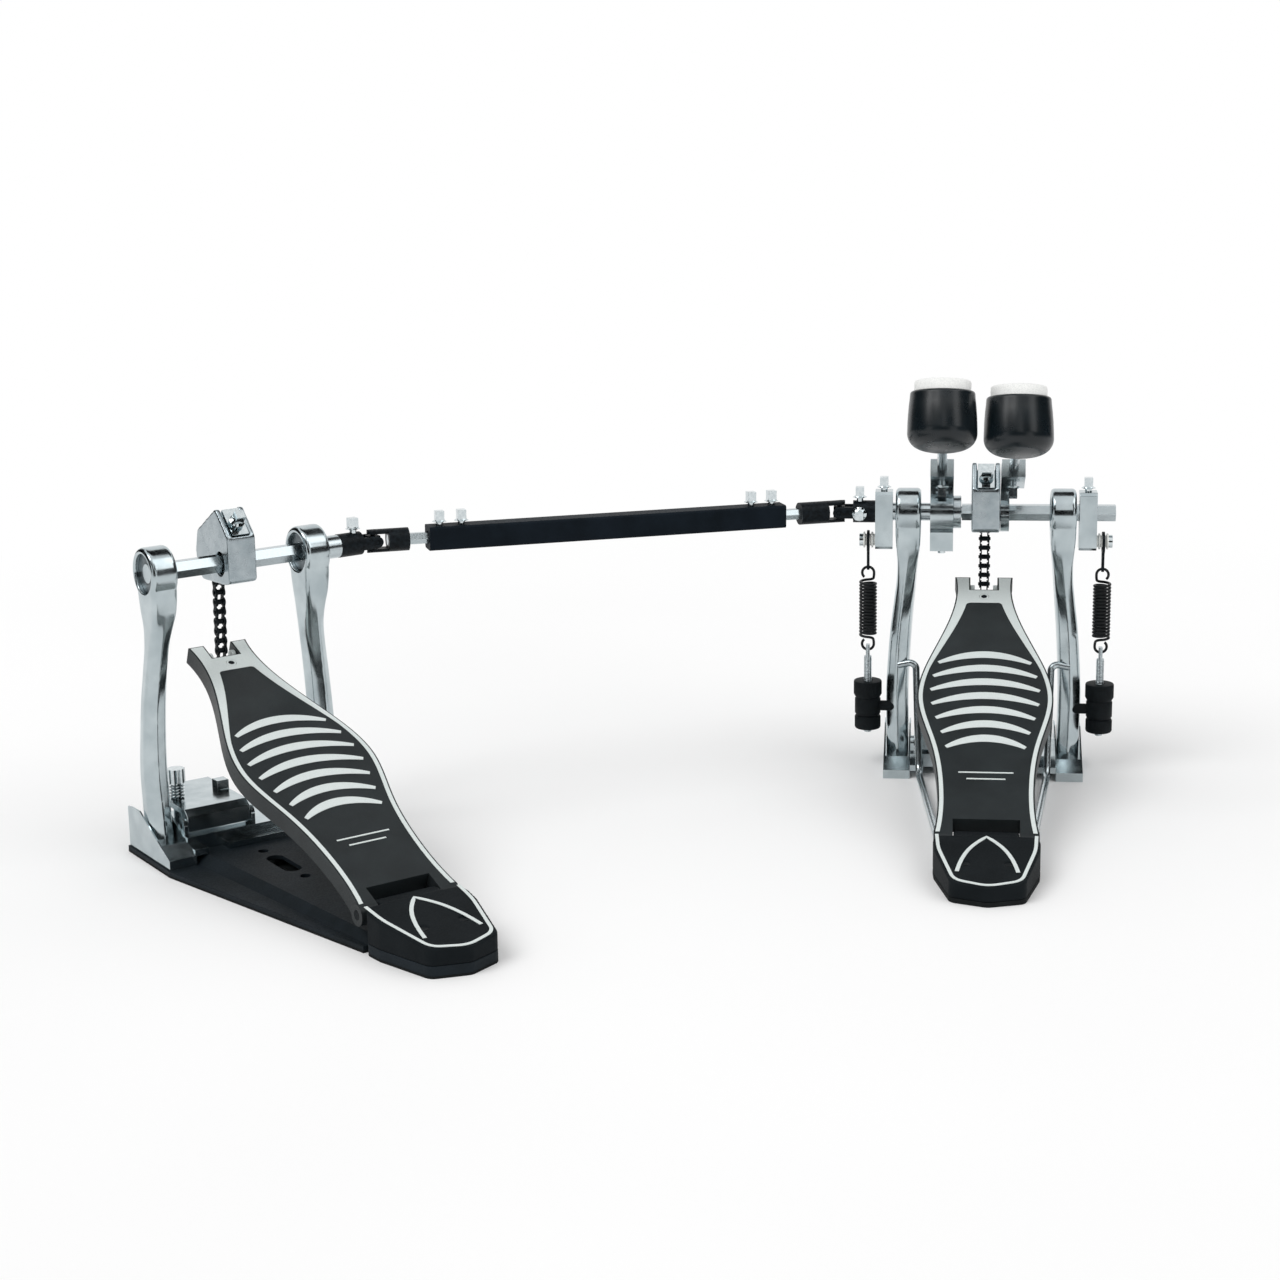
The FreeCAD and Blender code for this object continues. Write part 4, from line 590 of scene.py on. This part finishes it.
for side, (x, at) in HEADS.items():
    centre = Vector((x, 0, AXLE_H / MM)) + along_rod * at + to_drum * ROD_OFFSET
    head_frame = Matrix((Vector((1, 0, 0)), to_drum, along_rod)).transposed().to_4x4()
    place = MAIN @ to_metres @ Matrix.Translation(centre) @ head_frame
    parts = (("shell", cup, shell_plastic, 0.0), ("felt", disc, felt_wool, FUZZ))
    for part, profile, material, fuzz in parts:
        mesh = turned_head(f"{side}_{part}", profile, HEAD_STEPS, fuzz)
        mesh.transform(place)
        node = f"{side}_beater_{part}"
        piece(node + "_turned", mesh, side + "_beater", material, [node])
print("two beater heads")

# %% [markdown]
# ## Raised silver trim
# The boards carry a raised silver border that widens into a silver toe, and curved bars for grip. Flat
# shapes with holes are quickest as filled 2D curves: an outline, a thickness and a rounded edge. They are
# turned to meshes and laid on the sloping board.

# %% Flat shapes


def inlay(name, loops, place, thickness, rounding=0.0):
    """A thin raised shape from closed outlines in millimetres, laid on a plane."""
    curve = bpy.data.curves.new(name, "CURVE")
    curve.dimensions = "2D"
    curve.fill_mode = "BOTH"
    curve.extrude = thickness / 2 - rounding
    curve.bevel_depth = rounding
    curve.bevel_resolution = 1
    curve.offset = -rounding
    for loop in loops:
        spline = curve.splines.new("POLY")
        spline.points.add(len(loop) - 1)
        for point, (x, y) in zip(spline.points, loop):
            point.co = (x, y, 0, 1)
        spline.use_cyclic_u = True
    bench = bpy.data.objects.new(name, curve)
    bpy.context.scene.collection.objects.link(bench)
    graph = bpy.context.evaluated_depsgraph_get()
    mesh = bpy.data.meshes.new_from_object(bench.evaluated_get(graph))
    bpy.data.objects.remove(bench)
    mesh.transform(place @ to_metres @ Matrix.Translation((0, 0, thickness / 2)))
    return shaded(mesh, 40)


# %% Lines and rings


def ribbon(path, width):
    """The outline of a line of a given width, square at both ends; width may be a list."""
    path = np.array(path, float)
    along = np.gradient(path, axis=0)
    along /= np.linalg.norm(along, axis=1)[:, None]
    side = np.stack([-along[:, 1], along[:, 0]], axis=1) * np.broadcast_to(width, len(path))[:, None] / 2
    return [tuple(p) for p in path + side] + [tuple(p) for p in (path - side)[::-1]]


def circle(x, y, radius, steps=40):
    """A round outline."""
    return arc((x, y), radius, 0, 360 - 360 / steps, steps)


# %% Board trim
BOARD_TOP, EDGE, BAND, BAND_WIDE = 6.5, 0.95, 2.6, 7.2
BAND_GROWS, PANEL_TOP, TOE, FORK_U, FORK_HALF, SCREW_U = 160.0, 231.0, 260.0, 246.0, 9.2, 238.0
PANEL_CORNER, TRIM_T, TRIM_EDGE = 3.0, 0.35, 0.1
RIBS, RIB_START, RIB_PITCH, RIB_ARCH, RIB_MARGIN, RIB_END, RIB_SWELL = 7, 80.0, 14.2, 9.0, 5.0, 2.6, 4.2
SHORT_LINES, SHORT_LINE_W = ((56.0, 17.0), (50.0, 12.0)), 1.1       # place along the board, half length
SCREW_R, SOCKET_R, SOCKET_SHADE_T, SCREW_HOLE_R = 3.1, 2.0, 0.06, 3.3
COLLAR_R, COLLAR_OUT, COLLAR_W, COLLAR_AT = 3.2, 9.15, 2.9, (0.0, 252.4, 1.6)       # round the toe pin
for pedal, (place, tilt) in PEDALS.items():
    board = place @ Matrix.Translation(HINGE) @ Matrix.Rotation(math.radians(tilt), 4, "X")
    top = board @ Matrix.Translation((0, 0, BOARD_TOP * MM))
    node = pedal + "_footboard"
    flat = np.array([board.inverted() @ v.co for v in frame["nodes"][node].data.vertices]) / MM
    flat = flat[np.abs(flat[:, 2] - BOARD_TOP) < 0.02]
    edge = flat[(flat[:, 0] > 21.0) | ((flat[:, 0] > FORK_HALF + 1) & (flat[:, 1] > 200))]
    edge = edge[np.argsort(edge[:, 1])]

    def half_width(u):
        return np.interp(u, edge[:, 1], edge[:, 0])

    low = np.linspace(1.0, PANEL_TOP - PANEL_CORNER, 90)
    high = np.linspace(1.0, TOE - EDGE, 110)
    outer = [(half_width(u) - EDGE, u) for u in high]
    band = BAND + (BAND_WIDE - BAND) * np.clip((low - BAND_GROWS) / (PANEL_TOP - BAND_GROWS), 0, 1)
    inner = [(half_width(u) - EDGE - b, u) for u, b in zip(low, band)]
    fork = [(FORK_HALF + EDGE, TOE - EDGE), (FORK_HALF + EDGE, FORK_U - EDGE)]
    corner = arc((inner[-1][0] - PANEL_CORNER, inner[-1][1]), PANEL_CORNER, 0, 90, 6)[1:]
    right = outer + fork
    horseshoe = right + [(-x, u) for x, u in reversed(right)]
    panel = inner + corner
    horseshoe += [(-x, u) for x, u in panel] + list(reversed(panel))
    shapes = [horseshoe, circle(0, SCREW_U, SCREW_HOLE_R)]
    mesh = inlay(node + "_border", shapes, top, TRIM_T, TRIM_EDGE)
    piece(node + "_silver_border", mesh, node, silver_ink)
    bars = []
    for i in range(RIBS):
        u0 = RIB_START + RIB_PITCH * i
        reach = half_width(u0 - RIB_ARCH / 3) - EDGE - BAND - RIB_MARGIN
        x = np.linspace(-reach, reach, 41)
        crown = 1 - (x / reach) ** 2
        bars.append(ribbon(np.stack([x, u0 + RIB_ARCH * crown], axis=1), RIB_END + RIB_SWELL * crown))
    for u0, reach in SHORT_LINES:
        bars.append(ribbon([(-reach, u0), (0, u0), (reach, u0)], SHORT_LINE_W))
    mesh = inlay(node + "_bars", bars, top, TRIM_T, TRIM_EDGE)
    piece(node + "_grip_bars", mesh, node, silver_ink)
    shapes = [circle(0, SCREW_U, SCREW_R), circle(0, SCREW_U, SOCKET_R)]
    mesh = inlay(node + "_ring", shapes, top, TRIM_T, TRIM_EDGE)
    piece(node + "_screw_rim", mesh, node, silver_ink)
    # The hex socket is not cut into the screw: a thin black hexagon inside the silver ring is painted shade
    # for the recess.
    socket = inlay(node + "_socket", [circle(0, SCREW_U, SOCKET_R + 0.1, 6)], top, SOCKET_SHADE_T)
    piece(node + "_socket_painted_shade", socket, node, black_oxide)
    collars = [bar(COLLAR_R, start, start + COLLAR_W) for start in (-COLLAR_OUT, COLLAR_OUT - COLLAR_W)]
    pin = board @ to_metres @ Matrix.Translation(COLLAR_AT)
    piece(node + "_toe_collars", shaded(joined(node + "_collars", [(mesh, pin) for mesh in collars])), node,
          silver_ink)
print("trim on two boards")

# %% [markdown]
# ## Heel plate lines
# The moulded heel plate has a silver line round its front and a pointed arch inside it. Both are ribbons
# on the plate's sloping top.

# %% Heel trim
HEEL_BACK, HEEL_BACK_H, HEEL_FRONT_H, HEEL_LENGTH = -214.5, 22.5, 12.0, 64.5
HEEL_OUTLINE = [(32.5, 0.0), (31.5, 17.4), (22.0, 56.8), (0.0, 64.5)]
ARCH = [(0.0, 2.0), (2.2, 4.6), (4.4, 7.4), (6.6, 10.6), (8.8, 14.2), (11.0, 18.6), (13.0, 23.8),
        (14.9, 30.0), (16.4, 36.6), (17.4, 42.2), (17.8, 45.0)]
BORDER_W, BORDER_IN, BORDER_CORNER, ARCH_W, LINE_T, LINE_EDGE = 2.1, 2.7, 6.0, 2.4, 0.4, 0.1


# %% Paths inside an outline


def inset_path(points, distance):
    """An open path moved to its right side by a distance."""
    points = np.array(points, float)
    steps = np.diff(points, axis=0)
    steps /= np.linalg.norm(steps, axis=1)[:, None]
    normals = np.stack([steps[:, 1], -steps[:, 0]], axis=1)
    out = [points[0] + normals[0] * distance]
    for a, b, p in zip(normals[:-1], normals[1:], points[1:-1]):
        out.append(p + (a + b) * distance / (1 + a @ b))
    return out + [points[-1] + normals[-1] * distance]


def softened(points, radius, steps=7):
    """An open path with its corners rounded by short curves."""
    out = [points[0]]
    for before, corner, after in zip(points[:-2], points[1:-1], points[2:]):
        start = corner + (before - corner) * min(0.45, radius / np.linalg.norm(before - corner))
        end = corner + (after - corner) * min(0.45, radius / np.linalg.norm(after - corner))
        for t in np.linspace(0, 1, steps):
            out.append(start * (1 - t) ** 2 + corner * 2 * t * (1 - t) + end * t * t)
    return out + [points[-1]]


# %% Border and arch on both heel plates
slope = math.atan2(HEEL_BACK_H - HEEL_FRONT_H, HEEL_LENGTH)
stretch = 1 / math.cos(slope)
outline = HEEL_OUTLINE + [(-x, y) for x, y in HEEL_OUTLINE[-2::-1]]
border = softened(inset_path([(x, y * stretch) for x, y in outline], -BORDER_IN), BORDER_CORNER)
peak = [(x, y * stretch) for x, y in ARCH]
arch = [(-x, y) for x, y in peak[:0:-1]] + peak
for pedal, (place, _) in PEDALS.items():
    top = place @ Matrix.Translation((0, HEEL_BACK * MM, HEEL_BACK_H * MM)) @ Matrix.Rotation(slope, 4, "X")
    flat = top @ Matrix.Scale(-1, 4, (0, 1, 0))
    drawn = [inlay(pedal + "_heel", [ribbon(path, wide)], flat, LINE_T, LINE_EDGE)
             for path, wide in ((border, BORDER_W), (arch, ARCH_W))]
    lines = joined(pedal + "_heel_lines", [(mesh, Matrix()) for mesh in drawn])
    form = bmesh.new()
    form.from_mesh(lines)
    bmesh.ops.reverse_faces(form, faces=form.faces)
    form.to_mesh(lines)
    form.free()
    piece(pedal + "_heel_lines", shaded(lines, 40), "frame", silver_ink)
print("lines on two heel plates")

# %% [markdown]
# ## Springs and threads
# The return coil keeps its CAD form, which is already a wound wire. It hangs between the threaded rod and
# the hook, and here it keeps one shape and rides on no body. The rod's
# thread is a ridge that climbs one pitch a turn; the real pitch of 0.8 mm is drawn at 1 mm to show.

# %% Coils, threads and nuts
THREAD_LOW, THREAD_HIGH, THREAD_ROW, THREAD_STEPS = 58.0, 77.4, 0.125, 24
THREAD_ROOT, THREAD_DEPTH, COIL_END, RIDGES, RIDGE_DEPTH = 2.36, 0.36, 6 * MM, 56, 0.25
NUTS = [(3.0, 27.0, 0), (7.4, 27.0, 0), (8.4, 27.4, 0), (8.9, 28.3, 0.6), (8.9, 35.2, 1), (8.5, 36.0, 0),
        (7.6, 36.4, 0), (7.6, 37.1, 0), (8.4, 37.5, 0), (8.8, 38.2, 0), (8.8, 48.1, 0), (8.4, 48.7, 0),
        (8.1, 49.1, 0), (8.5, 49.7, 0), (9.6, 51.6, 0.6), (9.6, 60.1, 1), (9.3, 60.8, 0), (8.8, 61.0, 0),
        (3.6, 60.9, 0), (2.9, 60.2, 0)]         # radius, height and share of the knurl
for side in ("left", "right"):
    node = side + "_spring_coil"
    wire = shaded(frame["nodes"][node].data.copy(), 60)
    coil = piece(node + "_wire", wire, None, spring_black, [node])
    low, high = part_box(node)
    middle = (low + high) / 2
    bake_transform(coil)
    rows = []
    for height in np.arange(THREAD_LOW, THREAD_HIGH, THREAD_ROW):
        row = []
        for turn in np.linspace(0, 2 * np.pi, THREAD_STEPS, endpoint=False):
            climb = (height + turn / (2 * np.pi)) % 1.0
            radius = (THREAD_ROOT + THREAD_DEPTH * (1 - abs(2 * climb - 1))) * MM
            row.append((middle.x + radius * math.cos(turn), middle.y + radius * math.sin(turn), height * MM))
        rows.append(row)
    thread = shaded(loft(side + "_thread", rows), 60)
    piece(side + "_spring_thread", thread, side + "_spring_holder", zinc_thread)
    node = side + "_spring_holder"
    nuts = turned(side + "_nuts", NUTS, 4 * RIDGES, RIDGES, RIDGE_DEPTH)
    nuts.transform(Matrix.Translation((middle.x, middle.y, 0)) @ to_metres)
    piece(node + "_turned", shaded(nuts, 40), node, knurled_plastic, [node])
print("two coils, threads and sets of nuts")

# %% Clamp screws
for pedal in PEDALS:
    node = pedal + "_clamp_screw"
    piece(node + "_body", shaded(frame["nodes"][node].data.copy(), 40), node, chrome, [node])
print("two clamp screws")

# %% [markdown]
# ## Chains
# A roller chain's side plates are pressed with a waist between their two holes, and inner and outer pairs
# take turns. Every plate is a flat outline with a thickness; pins and rollers are short bars.

# %% Roller chains
CHAIN_R, PITCH, PLATE_R, PLATE_T, WAIST = 22.5, 6.35, 2.7, 0.8, 0.42
ROLLER_R, ROLLER_HALF, PIN_R, PIN_HALF, CHAIN_TOP = 1.65, 1.7, 1.15, 4.0, 15.0
TOE_PIN_U, TOE_PIN_R, TOE_PIN_HALF = 251.0, 1.7, 15.0
PLATE_STEPS = 9
steps = np.linspace(0, np.pi, PLATE_STEPS)
foot = [(PLATE_R * math.sin(t), -PLATE_R * math.cos(t)) for t in steps[:5]]
waist = [(PLATE_R * (1 - WAIST * math.sin(t) ** 2), PITCH * t / np.pi) for t in steps[1:-1]]
half_plate = foot + waist + [(y, PITCH - z) for y, z in reversed(foot)]
plate_outline = half_plate + [(-y, z) for y, z in half_plate[-2:0:-1]]
print("a chain plate has", len(plate_outline), "points")

# %% Links from the toe pin up to the cam
for pedal, (place, tilt) in PEDALS.items():
    slope = math.radians(tilt)
    pin = HINGE / MM + Vector((0, math.cos(slope), math.sin(slope))) * TOE_PIN_U
    away = Vector((0, 0, AXLE_H / MM)) - pin
    lean = math.atan2(away.y, away.z) + math.asin(CHAIN_R / away.length)
    links = [bar(TOE_PIN_R, -TOE_PIN_HALF, TOE_PIN_HALF)]
    for i in range(int((away.z + CHAIN_TOP) / PITCH)):
        inner = ROLLER_HALF + PLATE_T * (i % 2)
        for x in (inner, -inner - PLATE_T):
            ends = [[(side, y, z + i * PITCH) for y, z in plate_outline] for side in (x, x + PLATE_T)]
            links.append(loft("plate", ends))
        links.append(bar(PIN_R, -PIN_HALF, PIN_HALF, (i + 1) * PITCH))
        links.append(bar(ROLLER_R, -ROLLER_HALF, ROLLER_HALF, (i + 1) * PITCH))
    hung = place @ to_metres @ Matrix.Translation(pin) @ Matrix.Rotation(-lean, 4, "X")
    node = pedal + "_chain"
    piece(node + "_links", shaded(joined(node, [(mesh, hung) for mesh in links])), node, black_oxide,
          [node])
print("two chains")

# %% [markdown]
# ## Studio
# A pale floor and a white surround, as in a catalogue picture. Soft lamps above and beside the object
# shape it, and the surround fills the shadows. Away from the object the floor fades to plain white for
# the camera, so that no horizon shows; near it the floor is paper and takes the shadow.

# %% Floor
FADE_START, FADE_END, FLOOR_HALF, FILL, SEEN = 0.45, 1.1, 6.0, 0.62, 1.0
SUNS = (("key", 1.15, 38, (0.55, 0.5, -0.9)), ("side", 0.6, 50, (-0.75, 0.35, -0.8)))   # power, spread, aim
floor_paint = finish("white_paper", {"Roughness": 0.9, "Specular IOR Level": 0.1},
                     (600, 2, "#f8f8f8", "#fcfcfc"))
tree = floor_paint.node_tree
middle = (cad_box[0] + cad_box[1]) / 2
from_middle = add(tree, "ShaderNodeVectorMath", {1: (middle.x, middle.y, 0)},
                  {0: add(tree, "ShaderNodeNewGeometry").outputs["Position"]}, operation="DISTANCE")
fade = add(tree, "ShaderNodeMapRange", {"From Min": FADE_START, "From Max": FADE_END},
           {"Value": from_middle.outputs["Value"]})
amount = add(tree, "ShaderNodeMath", operation="MULTIPLY",
             links={0: fade.outputs[0], 1: add(tree, "ShaderNodeLightPath").outputs["Is Camera Ray"]})
blank = add(tree, "ShaderNodeEmission", {"Color": linear("#ffffff"), "Strength": 1.0})
faded = add(tree, "ShaderNodeMixShader", links={
    0: amount.outputs[0], 1: tree.nodes["Principled BSDF"].outputs[0], 2: blank.outputs[0]})
tree.links.new(faded.outputs[0], tree.nodes["Material Output"].inputs["Surface"])
sheet = bpy.data.meshes.new("floor")
corners = [(x * FLOOR_HALF, y * FLOOR_HALF, 0) for x, y in ((-1, -1), (1, -1), (1, 1), (-1, 1))]
sheet.from_pydata(corners, [], [(0, 1, 2, 3)])
floor = bpy.data.objects.new("floor", sheet)
sheet.materials.append(floor_paint)
bpy.context.scene.collection.objects.link(floor)
print("floor", 2 * FLOOR_HALF, "m wide")

# %% White surround
world = bpy.data.worlds.new("studio")
bpy.context.scene.world = world
world.use_nodes = True
tree = world.node_tree
tree.nodes.clear()
rays = add(tree, "ShaderNodeLightPath")
seen = add(tree, "ShaderNodeMath", links={0: rays.outputs["Is Camera Ray"], 1: rays.outputs["Is Glossy Ray"]},
           operation="MAXIMUM")
seen = add(tree, "ShaderNodeMath", links={0: seen.outputs[0], 1: rays.outputs["Is Transmission Ray"]},
           operation="MAXIMUM")
fill = add(tree, "ShaderNodeBackground", {"Color": linear("#ffffff"), "Strength": FILL})
white = add(tree, "ShaderNodeBackground", {"Color": linear("#ffffff"), "Strength": SEEN})
both = add(tree, "ShaderNodeMixShader", links={"Fac": seen.outputs[0]})
tree.links.new(fill.outputs[0], both.inputs[1])
tree.links.new(white.outputs[0], both.inputs[2])
add(tree, "ShaderNodeOutputWorld", links={"Surface": both.outputs[0]})
print("surround filled at", FILL)

# %% Soft lamps
for name, power, spread, towards in SUNS:
    lamp = bpy.data.lights.new(name, "SUN")
    lamp.energy = power
    lamp.angle = math.radians(spread)
    made = bpy.data.objects.new(name, lamp)
    made.rotation_euler = Vector(towards).to_track_quat("-Z", "Y").to_euler()
    bpy.context.scene.collection.objects.link(made)

# %% [markdown]
# ## Dark flags
# Polished metal is only as good as what it mirrors. A photographer hangs dark flags round a white set, so
# that chrome shows light and dark bands and black plastic stays black. These cards stand in a ring and
# are seen by mirror rays alone.

# %% Flags
flag_cloth = finish("black_velvet", {"Roughness": 1.0, "Specular IOR Level": 0.0},
                    (300, 2, "#0c0d0e", "#16181a"))
FLAG_R, FLAG_STEPS = 2.6, 13
FLAGS = ((-30, 30, -0.02, 1.3), (52, 72, -0.02, 1.3), (72, 132, -0.02, 2.2), (-132, -52, -0.02, 2.2),
         (-52, 2, 1.3, 3.4), (20, 52, 1.3, 3.4))         # degrees from the front, heights
CANOPY = ((-1.3, 0.45), (1.3, 0.45), (1.3, 1.9), (-1.3, 1.9))
CANOPY_H = 2.4
cards = []
for start, end, low, high in FLAGS:
    turns = np.radians(np.linspace(start, end, FLAG_STEPS) - 90)
    corners = [(FLAG_R * math.cos(t), FLAG_R * math.sin(t), z) for t in turns for z in (low, high)]
    cards.append((corners, [(2 * i, 2 * i + 2, 2 * i + 3, 2 * i + 1) for i in range(len(turns) - 1)]))
cards.append(([(x, y, CANOPY_H) for x, y in CANOPY], [(0, 1, 2, 3)]))
for number, (corners, faces) in enumerate(cards):
    sheet = bpy.data.meshes.new(f"flag_{number}")
    sheet.from_pydata(corners, [], faces)
    sheet.materials.append(flag_cloth)
    flag = bpy.data.objects.new(f"flag_{number}", sheet)
    flag.location = (middle.x, middle.y, 0)
    bpy.context.scene.collection.objects.link(flag)
    for kind in ("camera", "diffuse", "transmission", "volume_scatter", "shadow"):
        setattr(flag, "visible_" + kind, False)

bpy.context.scene.view_settings.view_transform = "Standard"

# %% [markdown]
# ## Camera
# The photograph was taken from about 1.6 m away, a little above the pedals, with a long lens. The
# vertical shift repeats how the picture was cropped.

# %% Camera at the photograph's angle
YAW, PITCH, ROLL = (math.radians(a) for a in (-7.33, 13.14, -1.04))
FOCAL_PX, IMAGE_PX, HORIZON_PX, SENSOR = 2436.82, 1280, 602.66, 36
CAMERA_AT = (-0.0263, -1.6258, 0.4964)      # in the right pedal's frame
forward = Vector((math.sin(YAW) * math.cos(PITCH), math.cos(YAW) * math.cos(PITCH), -math.sin(PITCH)))
flat_right = Vector((math.cos(YAW), -math.sin(YAW), 0))
flat_up = flat_right.cross(forward)
right = flat_right * math.cos(ROLL) + flat_up * math.sin(ROLL)
up = flat_up * math.cos(ROLL) - flat_right * math.sin(ROLL)
lens = bpy.data.cameras.new("camera")
lens.sensor_width = SENSOR
lens.lens = SENSOR * FOCAL_PX / IMAGE_PX
lens.shift_y = (HORIZON_PX - IMAGE_PX / 2) / IMAGE_PX
camera = bpy.data.objects.new("camera", lens)
bpy.context.scene.collection.objects.link(camera)
turn = Matrix((right, up, -forward)).transposed().to_4x4()
camera.matrix_world = MAIN @ Matrix.Translation(CAMERA_AT) @ turn
bpy.context.scene.camera = camera

# %% Sizes
print("cad box", [tuple(round(x, 4) for x in c) for c in cad_box])
